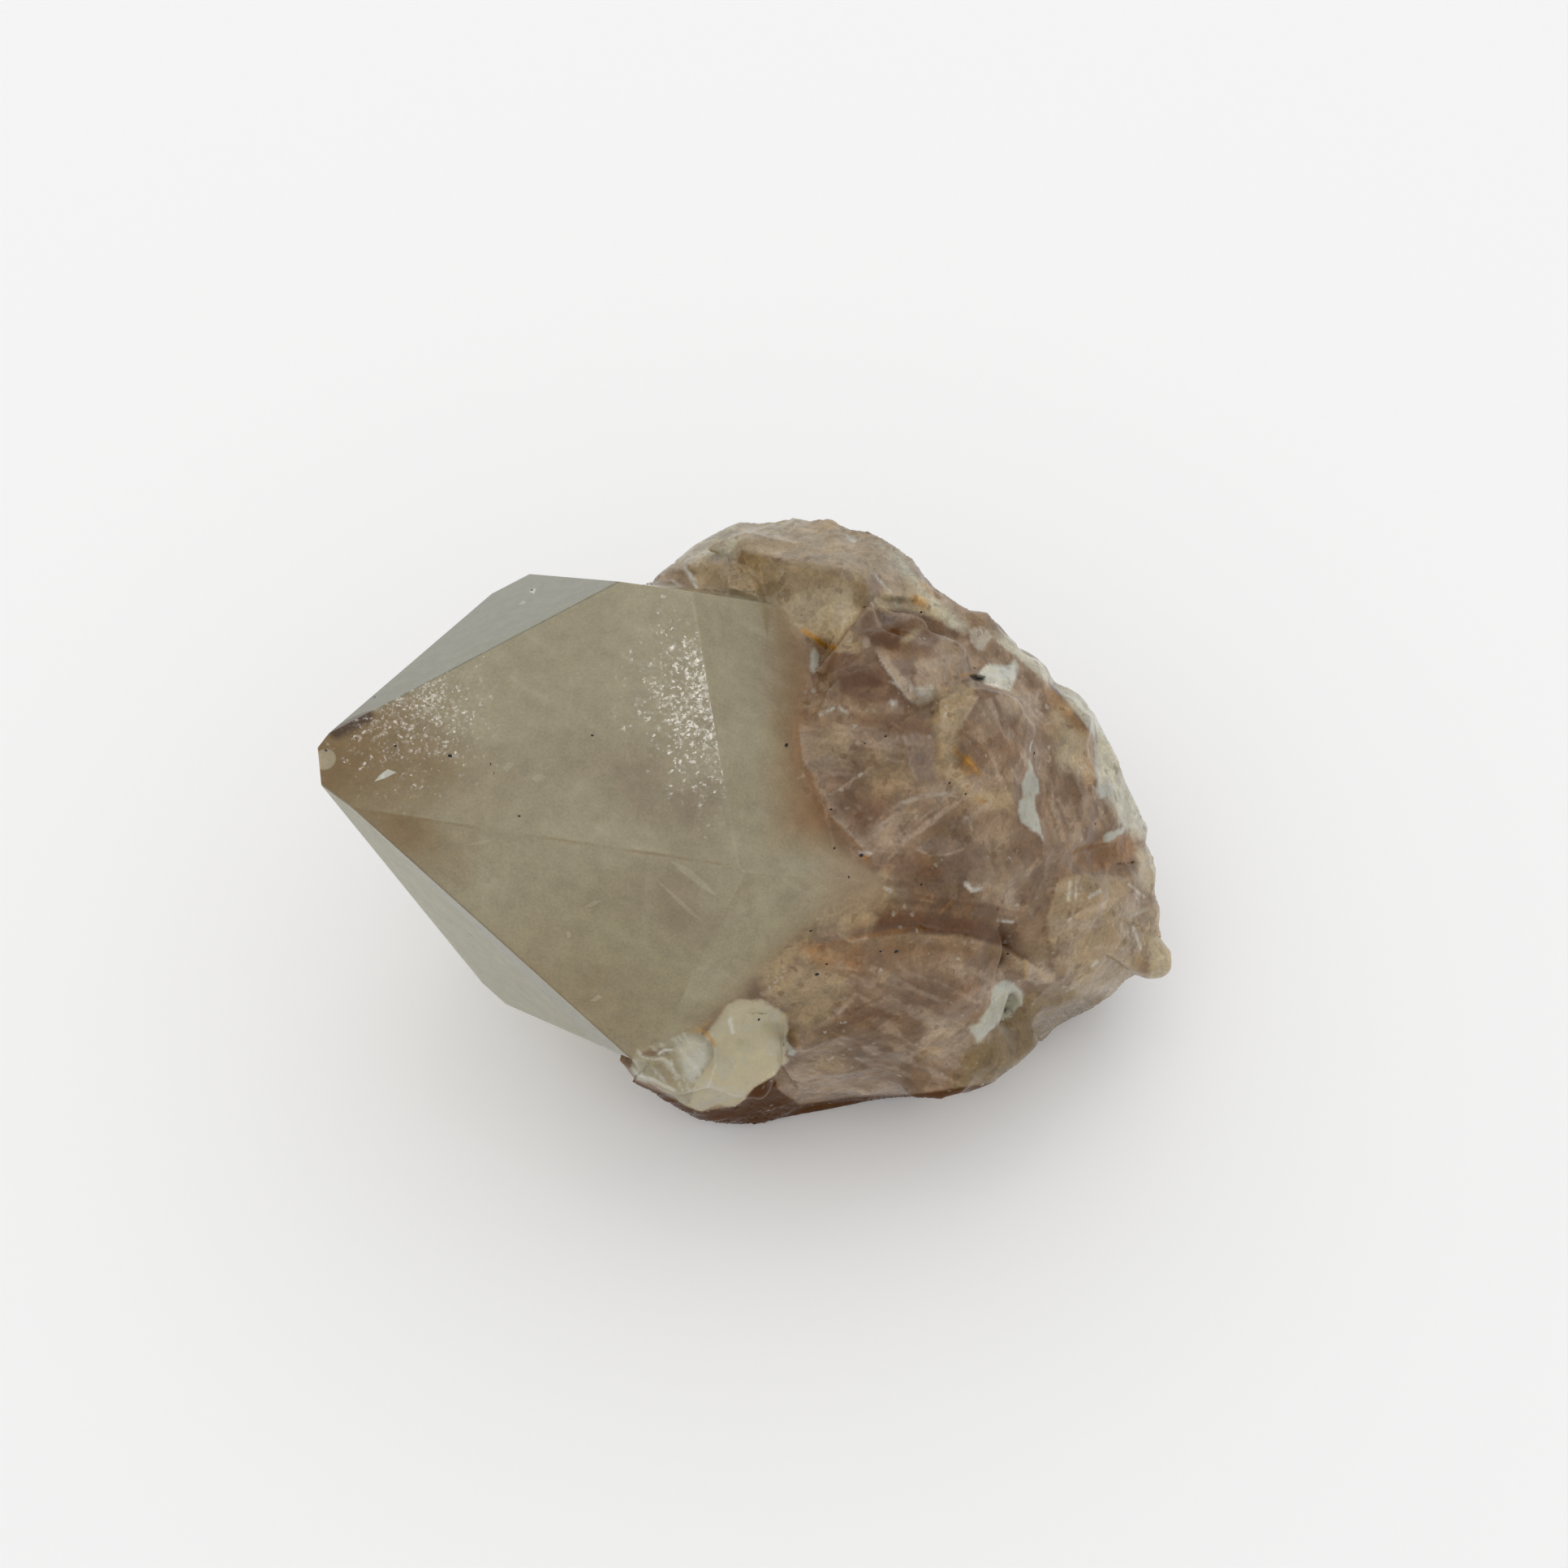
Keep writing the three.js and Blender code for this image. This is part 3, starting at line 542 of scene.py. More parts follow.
PINKISH = looks(147, 132, 108)
BEIGE = looks(152, 134, 104)
SAND = looks(164, 150, 123)
OLIVE = looks(130, 110, 80)
RUST_DARK = looks(108, 82, 56)
SEAM = looks(146, 130, 101)
DIM_OLIVE = looks(114, 97, 71)
DARK = looks(84, 58, 40)
PURPLE = looks(108, 84, 65)
GREY_PURPLE = looks(123, 107, 94)
VEIL = looks(162, 146, 126)
WHITE = looks(190, 189, 178)
FLAKE = looks(158, 156, 142)
RIM = looks(172, 168, 150)
RUST = looks(136, 100, 64)
ORANGE = looks(176, 130, 56)
DEEP_ORANGE = looks(134, 96, 22)
CREAM = looks(166, 158, 134)
CLEAR = looks(142, 135, 111)
UNDERSIDE_SHADE = looks(72, 51, 27)
BLACK = looks(28, 20, 14)
ROOT = looks(122, 101, 81)
ROOT_DARK = looks(102, 80, 60)
ROOT_PALE = looks(146, 128, 106)

stone = np.tile(ROOT, (count, 1))
cloud_places = places + 1.2 * MM * np.stack([soft_noise(places, 3.5 * MM, 400 + k) for k in range(3)], axis=1)
large_cloud = clouds(cloud_places, 5 * MM, 410)
small_cloud = clouds(cloud_places, 1.8 * MM, 420)


def paint(colour, share):
    """Blends a colour, or one for each vertex, over the stone's colours, by a share for each vertex."""
    stone[:] += (colour - stone) * np.clip(share, 0, 1)[:, None]


paint(ROOT_PALE, ease(0.05, 0.5, large_cloud))
paint(ROOT_DARK, ease(0.05, 0.5, -large_cloud))
paint(ROOT_PALE, 0.3 * ease(0.1, 0.6, small_cloud) + 0.2 * ease(0.6, 0.65, small_breaks))
paint(ROOT_DARK, 0.3 * ease(0.1, 0.6, -small_cloud) + 0.2 * ease(0.4, 0.35, small_breaks))
paint(ROOT_PALE, 0.2 * ease(0.6, 0.65, large_breaks) * off_crystal)
paint(PURPLE, 0.2 * ease(0.4, 0.35, large_breaks) * off_crystal)
paint(RUST, 0.2 * ease(0.1, 0.8, dip))

# Zones of colour: colour, strength, softness of the outline in millimetres, and outline
zones = (
    # the crystal behind the point
    (PINKISH, 0.95, 0.5, ((-4.6, 20.8), (-3.9, 21.8), (7.2, 18.9), (8.4, 17.6), (10.5, 16.6), (12.8, 16.8),
     (10.9, 21), (7.1, 24.8), (2.6, 25.9), (-2, 24.8), (-7.3, 21.7))),
    # painted shade along the top edge, darkening it against the sky reflected at this glancing edge
    (OLIVE, 0.35, 0.8, ((-5, 25.9), (2.6, 26.7), (8.3, 25.9), (12.1, 21), (10.6, 20.6), (7.1, 22.6),
     (2.6, 23.9), (-4.6, 22.9))),
    (RIM, 0.35, 0.4, ((-4.6, 22.6), (-5, 24.8), (-3.1, 25.5), (-0.5, 24.6), (1.4, 25.4), (3, 24.7), (1.4, 24),
     (-0.8, 23.6), (-3.3, 22.8))),
    (RIM, 0.6, 0.3, ((-12.6, 19.3), (-11.5, 22.5), (-8.1, 24.4), (-4.6, 24.8), (-4.4, 21), (-7.4, 20.7),
     (-10, 20.3))),
    (BEIGE, 0.95, 0.12, ((-9.7, 20.3), (-4.4, 20.8), (-4.1, 18.1), (-7.9, 18.2))),
    (OLIVE, 0.5, 0.1, ((-7.6, 20.2), (-6.2, 20.4), (-5.9, 18.2), (-7.4, 18.2))),
    (BEIGE, 0.95, 0.1, ((-4.4, 21.2), (-3.9, 21.8), (0.6, 20.5), (3.8, 19.8), (7.2, 18.9), (8.4, 17.6),
     (5.1, 13.3), (-0.2, 15.3), (-1.7, 17.4), (-4.1, 17.9))),
    (SAND, 0.9, 1.1, ((-1.2, 17), (1.4, 17.9), (4.9, 18.7), (6.8, 18.2), (6.4, 16.6), (5.1, 13.5),
     (2.6, 14.2), (-0.2, 15.4))),
    (OLIVE, 0.45, 0.1, ((-4.3, 18.1), (-4.3, 20.8), (-3.8, 21.7), (-2.7, 21.4), (-1.1, 19.3), (-0.3, 17.5),
     (-1.7, 17.5))),
    (OLIVE, 0.85, 0.2, ((6.1, 19), (7.5, 18.8), (8.4, 17.6), (7.3, 16.3), (6.4, 16.8), (6.6, 18.1))),
    (DARK, 0.45, 0.1, ((-4.3, 21.1), (-3.8, 21.7), (-2.8, 21.4), (-3, 20.1), (-3.5, 21))),
    (GREY_PURPLE, 0.9, 0.4, ((8.5, 20.2), (9.3, 18.8), (10.3, 16.7), (8.4, 16.6), (7.8, 17), (8.4, 17.6),
     (7.6, 19))),
    (RIM, 0.5, 0.8, ((9, 22.6), (10.9, 21.7), (12.8, 19.1), (14, 16.9), (12.1, 17.2), (10.6, 19.8),
     (9.3, 21.4))),
    (SAND, 0.9, 0.3, ((10.2, 18.3), (14, 17.6), (16.6, 14.9), (15.7, 14.5), (12.9, 15.9), (8.2, 16.4),
     (8.5, 17.3))),
    (ORANGE, 0.6, 0.4, ((11.8, 17.5), (12.5, 17.8), (13.7, 17), (14.1, 16.3), (13.1, 16.4), (12, 16.9))),
    (ORANGE, 0.3, 0.3, ((12, 18.5), (13.2, 19), (14.1, 17.7), (13.8, 16.7), (12.5, 16.9))),
    (RIM, 0.6, 0.5, ((14, 16.9), (15.1, 16.9), (17.2, 15), (16.8, 14.2), (15.1, 14.9))),
    # the purple crystal below it
    (ROOT, 0.9, 0.3, ((5.1, 13.4), (7.4, 16.3), (11.3, 16.3), (14.9, 15.3), (17.4, 13.4), (16.6, 10.3),
     (13.2, 8.1), (9.8, 7.3), (6.4, 7.4), (3.3, 8.1), (2.6, 9.7))),
    (GREY_PURPLE, 0.95, 0.1, ((7.3, 16.3), (8.2, 16.4), (12.9, 15.9), (10.5, 15.1), (8.7, 14.2),
     (6.5, 14.3))),
    (PURPLE, 0.7, 0.15, ((7.4, 16.3), (8.2, 16.3), (8.7, 14.7), (7.1, 14.4))),
    (ROOT_DARK, 0.7, 0.3, ((8.4, 13.8), (9.6, 14.4), (13, 15.7), (14.7, 15), (15.2, 14.1), (14, 12.8),
     (11.9, 12.2), (10, 12.5), (9, 12.8))),
    (DARK, 0.8, 0.2, ((7.9, 13.9), (8.7, 13.9), (9.3, 14.3), (10.9, 14.8), (10.8, 12.6), (9.9, 12.5),
     (9.1, 13), (8.4, 12.8))),
    (BEIGE, 0.6, 0.15, ((10.8, 13.4), (11.9, 14.4), (13.4, 15), (12.8, 14.1), (11.4, 13.1))),
    (BEIGE, 0.7, 0.1, ((6.1, 14.4), (7.4, 13.7), (7, 12.2), (4.7, 12.4))),
    (VEIL, 0.8, 0.08, ((7.4, 13.7), (7.9, 13.8), (8.2, 12.8), (7.5, 12.7))),
    (PURPLE, 0.95, 0.1, ((4.7, 12.3), (7.4, 12.1), (5.9, 11), (2.7, 9.7), (2.4, 10.2))),
    (PURPLE, 0.9, 0.15, ((4.9, 10.5), (6.5, 11.1), (8.3, 11), (9.6, 10), (11.1, 8.1), (9.9, 7.4), (7.1, 7.8),
     (5.2, 8.8))),
    (DARK, 0.6, 0.3, ((5.2, 9.7), (7.1, 10.6), (9, 10), (9.4, 9.1), (7.3, 9), (5.6, 9))),
    (VEIL, 0.6, 0.08, ((9, 11.9), (9.7, 11.9), (12.5, 8.4), (12.2, 7.8), (11.5, 8))),
    (GREY_PURPLE, 0.8, 0.15, ((9.9, 11.7), (14.1, 11.1), (14.3, 9), (12.5, 8.4))),
    (PURPLE, 0.8, 0.15, ((11.8, 10.5), (13.5, 10.5), (13.2, 9.1), (12, 9.1))),
    (VEIL, 0.6, 0.3, ((12, 11.6), (15, 11.6), (14.7, 8.7), (12.3, 9))),
    (WHITE, 0.5, 0.2, ((12.3, 9), (14, 9.2), (14.1, 7.9), (12.6, 7.8))),
    (ROOT_PALE, 0.7, 0.3, ((14, 12.6), (15.2, 14), (17.2, 13.2), (17.8, 11.5), (17, 10.2), (14.7, 9.6),
     (14.1, 10.9))),
    (WHITE, 0.45, 0.15, ((17.3, 14.5), (18.8, 14.7), (19.5, 13.8), (18.7, 12.6), (18.2, 12.5), (17.5, 13.4))),
    (BEIGE, 0.75, 0.1, ((14.1, 8.9), (17.8, 9.7), (18.1, 8.1), (16.4, 5.2), (14.1, 5.6))),
    (VEIL, 0.4, 0.12, ((18.1, 7.9), (19.5, 8.1), (20.4, 5), (18.2, 3.8), (16.4, 5.2))),
    (WHITE, 0.5, 0.1, ((9.9, 7.9), (10.6, 7.8), (10.6, 7.2), (10, 7.3))),
    (VEIL, 0.6, 0.1, ((3.2, 9.4), (4, 9.6), (4.4, 8.8), (3.6, 8.6))),
    # the shell-like plate beside the point
    (RUST, 0.4, 1.2, ((1.4, 10.3), (2.6, 8.8), (1.8, 5), (3, 0.5), (4.9, -5.6), (2.6, -4.1), (0.7, 2.7),
     (0.3, 8.8))),
    (PURPLE, 0.45, 0.8, ((1.8, 4.6), (5.6, 5.8), (10.9, 4.6), (11.3, -5.6), (8.3, -6.2), (5.2, -3.3),
     (3, 0.5))),
    (PINKISH, 0.5, 0.8, ((2, 4.6), (5.6, 5.5), (7.1, 3.9), (5.6, 2), (3, 1.6))),
    (DARK, 0.45, 1.0, ((6.4, 2.1), (10.2, 3.1), (10.8, 0.1), (8.1, -0.7), (6.8, 0.3))),
    (PURPLE, 0.7, 0.9, ((6, -0.9), (9, -0.5), (9.3, -3), (7.1, -3.3))),
    (PURPLE, 0.8, 0.6, ((6.4, 6.4), (12.8, 6.2), (13.8, 4.9), (11.1, 4.6), (8.7, 4.8))),
    (GREY_PURPLE, 0.85, 0.1, ((11.2, 4.5), (12.5, 4.8), (14.1, 4.1), (14.1, 0.5), (12.5, 0.2), (11.9, 1.4))),
    (VEIL, 0.42, 0.45, ((8.5, -5.6), (10.2, -2.8), (12.3, -1.2), (14.7, -0.7), (17.4, -0.8), (18.3, -1.4),
     (17.5, -2.5), (14, -3.6), (12.3, -4.9), (10.6, -6.4), (9, -6.5))),
    (OLIVE, 0.4, 0.4, ((14.7, -2.1), (17, -1.1), (18.1, -1.6), (17, -2.7), (14.7, -3))),
    (BEIGE, 0.75, 0.6, ((14.1, 6.2), (16.4, 5), (16.1, 2), (17.6, -0.5), (21.6, -0.7), (21.2, -2.6),
     (17, -1.7), (14.7, 1.2))),
    # the middle and the right rim
    (PURPLE, 0.5, 1.5, ((17.8, 5.8), (22.3, 6.5), (22.3, 2), (19.3, 1.2))),
    (PURPLE, 0.5, 1.5, ((20.8, -2.6), (27.7, -1.1), (27.7, -5.6), (22.3, -6.4))),
    (ORANGE, 0.12, 1.0, ((24.8, 7.4), (26.9, 6.2), (29.3, 3.5), (29.2, 0.1), (27.7, 2.7), (25.4, 4.6))),
    (SAND, 0.75, 1.2, ((25.4, 7.3), (28.4, 4.6), (28.4, 0.8), (25.4, 1.6))),
    (VEIL, 0.6, 0.7, ((20.4, 9.4), (24.2, 9), (23.5, 5.8), (20.7, 6.2))),
    (SAND, 0.6, 0.8, ((33.6, -11.7), (36, -10.9), (36, -14.7), (33.9, -14.7))),
    (RIM, 0.85, 0.7, ((20.4, 13.4), (25.4, 9.4), (29.2, 4.6), (29.3, 0.8), (31.8, -3.5), (32.6, -5),
     (37.5, -5), (36, 5), (29.2, 13.4), (22.3, 17.2))),
    (RUST, 0.8, 0.6, ((27.3, -6.5), (29.9, -4.9), (33, -4.7), (33.7, -6.2), (31.5, -7.5), (27.7, -8.5))),
    (ROOT_DARK, 0.4, 0.6, ((27.1, -5.8), (31.8, -5.6), (31.5, -7.4), (27.3, -7.6))),
    (SAND, 1.0, 0.4, ((32.8, -5.8), (36, -5.6), (36, -10.9), (33.4, -10))),
    (GREY_PURPLE, 0.6, 0.2, BUD),
    (GREY_PURPLE, 0.6, 0.5, ((14.4, -6.8), (18.8, -5.8), (18.8, -7.9), (17, -9.4), (14.4, -9.3))),
    (ROOT_PALE, 0.7, 0.2, PALE_BUD),
    (PURPLE, 0.7, 0.7, ((7.9, -6.5), (14, -6.4), (14.4, -9.3), (9.4, -9), (7.5, -7.9))),
    (RUST, 0.5, 0.6, ((12.5, -6.5), (14.1, -6.2), (14.4, -8.7), (12.8, -9))),
    (SAND, 0.7, 0.9, ((-0.5, -6.8), (6.8, -7.8), (10.2, -9), (8.7, -10.3), (0.3, -10.2))),
    (BEIGE, 0.35, 0.8, ((-11.5, 19.3), (-9.6, 21), (-1.2, 21), (-0.8, 19.1), (-5, 17.6))),
    (RUST_DARK, 0.6, 0.7, ((8.1, -11.6), (9, -9.6), (10.9, -10.2), (10.6, -12.1))),
    (ROOT_DARK, 0.5, 0.8, ((10.2, -7.1), (21.6, -5.6), (22, -9), (14, -10), (10.2, -9.8))),
    (ROOT_DARK, 0.55, 1.0, ((11.7, -1.4), (17, -1.1), (20.1, -3.3), (16.3, -5.2), (10.9, -5.2))),
    (BEIGE, 0.4, 0.9, ((7.1, 3.5), (10.9, 3.9), (12.1, 0.5), (10.2, -1.4), (7.1, -0.7))),
    (BEIGE, 0.45, 0.7, ((20.8, -14), (24.6, -14.9), (24.8, -17.2), (22, -17.5))),
    (RUST_DARK, 0.6, 1.0, ((8.3, -10), (13.2, -10), (21.6, -12.5), (22.5, -14.7), (20.8, -16.9), (14, -16.3),
     (9.4, -15.9), (7.8, -14))),
    (DARK, 0.7, 0.6, ((8.5, -11.9), (14, -11.9), (18.9, -12.8), (22.2, -14.6), (20.8, -14.7), (17, -13.8),
     (12.7, -13.5), (8.7, -13.7))),
    (ROOT_DARK, 0.5, 0.8, ((21.7, -10), (24.8, -10.2), (24.6, -13.6), (22.2, -13.2))),
    (BEIGE, 0.7, 0.8, ((21.2, -14.7), (24.6, -15.1), (24.6, -17), (22.5, -17.5))),
    (BEIGE, 0.7, 0.4, FOOT_BUD),
    # the pale lobe at the lower right, its nodule and the bit of shell beside it
    (RIM, 0.35, 1.5, ((24.6, -18.9), (33, -17.4), (33, -20.1), (27.7, -24.6), (23.9, -24.6))),
    (BEIGE, 0.6, 0.9, ((25.4, -9), (27.7, -8.1), (32.2, -8.5), (34.5, -10.9), (34.9, -14.7), (33, -18.2),
     (28.4, -18.9), (25.4, -17.4), (24.5, -13.2))),
    (PURPLE, 0.5, 0.8, ((32.6, -9), (33.9, -9.8), (34.5, -12.8), (33.4, -12.5), (31.8, -10.6))),
    (SAND, 1.0, 0.4, ((34.1, -14), (36, -14), (37.5, -16.3), (37.2, -19.7), (34.1, -18.9))),
    (VEIL, 0.7, 0.15, PALE_CHIP),
    # the lower mass
    (DIM_OLIVE, 0.95, 0.8, ((16.8, -24.6), (20.1, -22), (22.5, -19.7), (25.4, -19.2), (31.5, -20.1),
     (27.7, -24.6), (22.3, -28.4), (15.5, -29.6))),
    (SEAM, 0.7, 1.2, ((-3.1, -17.8), (1.4, -14), (5.6, -10.6), (10.6, -9.4), (10.9, -10.8), (5.6, -12.5),
     (2.6, -15.1), (-0.5, -18.5))),
    (ROOT_DARK, 0.45, 1.0, ((6.8, -16.3), (15.1, -15.7), (17, -20.1), (7.1, -20.5))),
    (RUST, 0.6, 0.9, ((1.8, -15.1), (7.5, -14.6), (7.3, -17.4), (3.3, -17.8))),
    (BEIGE, 0.7, 0.8, ((-2.4, -18.2), (1.8, -16.8), (5.2, -17.4), (6, -20.4), (2.4, -23.1), (0.7, -22.7),
     (-0.5, -20.8))),
    (PURPLE, 0.9, 1.2, ((4.9, -20.8), (12.1, -20.4), (12.5, -28.8), (7.1, -28), (4.5, -25.4))),
    (DIM_OLIVE, 0.6, 1.5, ((3.3, -22.7), (11.7, -22), (11.7, -27.7), (4.1, -27.7))),
    (DARK, 0.4, 1.5, ((4.1, -23.1), (10.9, -22.5), (11.3, -27.3), (5.6, -27.3))),
    (PURPLE, 0.75, 1.0, ((10.5, -17.6), (18.4, -18.9), (18.2, -22), (11.7, -21.7))),
    (ROOT_PALE, 0.5, 0.8, ((0.2, -27.7), (2.6, -25.4), (7.1, -26.9), (10.9, -28.8), (5.6, -29.3),
     (1.4, -29.9))),
    (VEIL, 0.4, 0.6, ((15.2, -24.8), (16.6, -23.1), (18.3, -22.5), (17.8, -24.6), (16.3, -25.8))),
)
for colour, strength, soft, outline in zones:
    uneven = 0.6 * min(soft, 1.0) * small_cloud if soft > 0.2 else 0
    paint(colour, strength * ease(-soft, soft, within(outline) + uneven))


def streaks(angle, length, width, seed):
    """Noise drawn out along one direction over the display side, in degrees from level: about -1 to 1."""
    turn = math.radians(angle)
    along = shown[:, 0] * math.cos(turn) + shown[:, 1] * math.sin(turn)
    across = shown[:, 1] * math.cos(turn) - shown[:, 0] * math.sin(turn)
    drawn = np.stack([along / length, across / width + 0.4 * large_cloud, np.zeros(count)], axis=1)
    return clouds(drawn, 1.0, seed)


# Wisps drawn out one way: colour, strength, their direction, length and width, and outline
wisps = (
    (VEIL, 0.5, 38, 4, 0.6, ((6.8, -6.8), (9, -3), (11.7, -0.5), (18.2, 0.1), (19.3, -2.2), (14, -4.9),
     (10.2, -7.1))),
    (VEIL, 0.35, -8, 5, 0.5, ((2.6, 5), (11.7, 5.4), (11.3, -0.7), (3.3, 0.1))),
    (DARK, 0.5, -8, 4, 0.5, ((7.1, -6), (14.4, -6), (15.1, -9.8), (8.7, -9.8))),
    (DARK, 0.5, -9, 6, 0.6, ((7.9, -11.3), (14.7, -9.8), (22.5, -12.1), (22.5, -14.7), (16.3, -13.6),
     (8.7, -13.2))),
    (VEIL, 0.6, -55, 5, 0.5, ((8.5, 21), (10.9, 22.1), (17.8, 14.9), (14, 14.9), (10.2, 16.8))),
    (VEIL, 0.45, -62, 3, 0.5, ((17, 8.4), (23.9, 8.1), (22.5, 0.1), (17.4, 0.1))),
    (VEIL, 0.3, -25, 3, 0.6, ((4.9, -16.6), (20.1, -17), (19.7, -28), (4.9, -28.8))),
    (VEIL, 0.4, 20, 3, 0.5, ((9, 12.6), (17.8, 13.4), (17, 6.5), (9.4, 6.5))),
    (DARK, 0.4, 30, 3, 0.7, ((4.9, -19.3), (13.2, -19.3), (13.2, -27.7), (5.6, -27.7))),
    (VEIL, 0.35, -70, 4, 0.6, ((23.1, 2), (29.2, 2.7), (33, -4.9), (27.7, -6), (23.9, -4.9))),
    (VEIL, 0.35, 10, 3, 0.7, ((24.6, -8.7), (34.5, -8.7), (34.5, -17.8), (25.4, -17.8))),
)
for number, (colour, strength, angle, length, width, outline) in enumerate(wisps):
    wisp = ease(0.0, 0.55, streaks(angle, length, width, 500 + 5 * number))
    paint(colour, strength * wisp * ease(-0.8, 0.8, within(outline) + 0.5 * small_cloud))

# Shades that start at an edge and fade away from its left side, the olive, dark and purple ones along ledges,
# crests and the lobe's edge being painted shade: colour, strength, reach and path
shades = (
    (OLIVE, 0.4, 1.6, ((7.2, 18.9), (3.8, 19.8), (0.6, 20.5), (-3.9, 21.8))),
    (DARK, 0.35, 2.0, ((14.9, 15), (13, 15.8), (7.6, 14.3))),
    (DARK, 0.6, 1.6, ((11.5, 8.1), (9, 11.7))),
    (VEIL, 0.5, 1.3, ((9, 11.7), (11.5, 8.1))),
    (PURPLE, 0.5, 2.0, ((18.1, 8.1), (16.4, 5.2))),
    (VEIL, 0.35, 1.3, ((1.5, 4.7), (1.8, 2.4), (2.4, 1.3), (3.2, 0.4), (3.5, -0.3), (4.5, -3), (5.9, -4.4),
     (7.9, -6.7))),
    (RUST, 0.35, 1.6, ((7.9, -6.7), (5.9, -4.4), (4.5, -3), (3.5, -0.3), (3.2, 0.4), (2.4, 1.3), (1.8, 2.4),
     (1.5, 4.7))),
    (PURPLE, 0.5, 1.2, ((4.5, -0.8), (8.4, 1.7))),
    (BEIGE, 0.25, 1.5, LOWER_CREST),
    (DARK, 0.75, 2.6, LOWER_CREST[-2::-1]),
    (PURPLE, 0.5, 1.6, ((25.1, -16.6), (24.6, -12.5), (25.7, -9), (27.7, -8.3), (31.8, -8.7))),
    (RIM, 0.7, 3.5, ((20.8, 12.6), (25.4, 9.1), (29, 4.6), (29.2, 0.8), (31.8, -3.7))),
    (ORANGE, 0.25, 1.5, ((29, 0.5), (28.8, 4.6), (25.2, 8.8))),
)
for colour, strength, reach, path in shades:
    distance, side = beside(path)
    paint(colour, strength * ease(-0.12, 0.12, side * distance) * ease(reach, 0, distance))

# The clouds and the breaks show through the zones
stone *= (1 + 0.08 * small_cloud + 0.14 * (small_breaks - 0.5) + 0.08 * (large_breaks - 0.5))[:, None]
# Painted highlight: the root's crests are painted paler
paint(VEIL, 0.3 * ease(0.03, 0.12, crest))
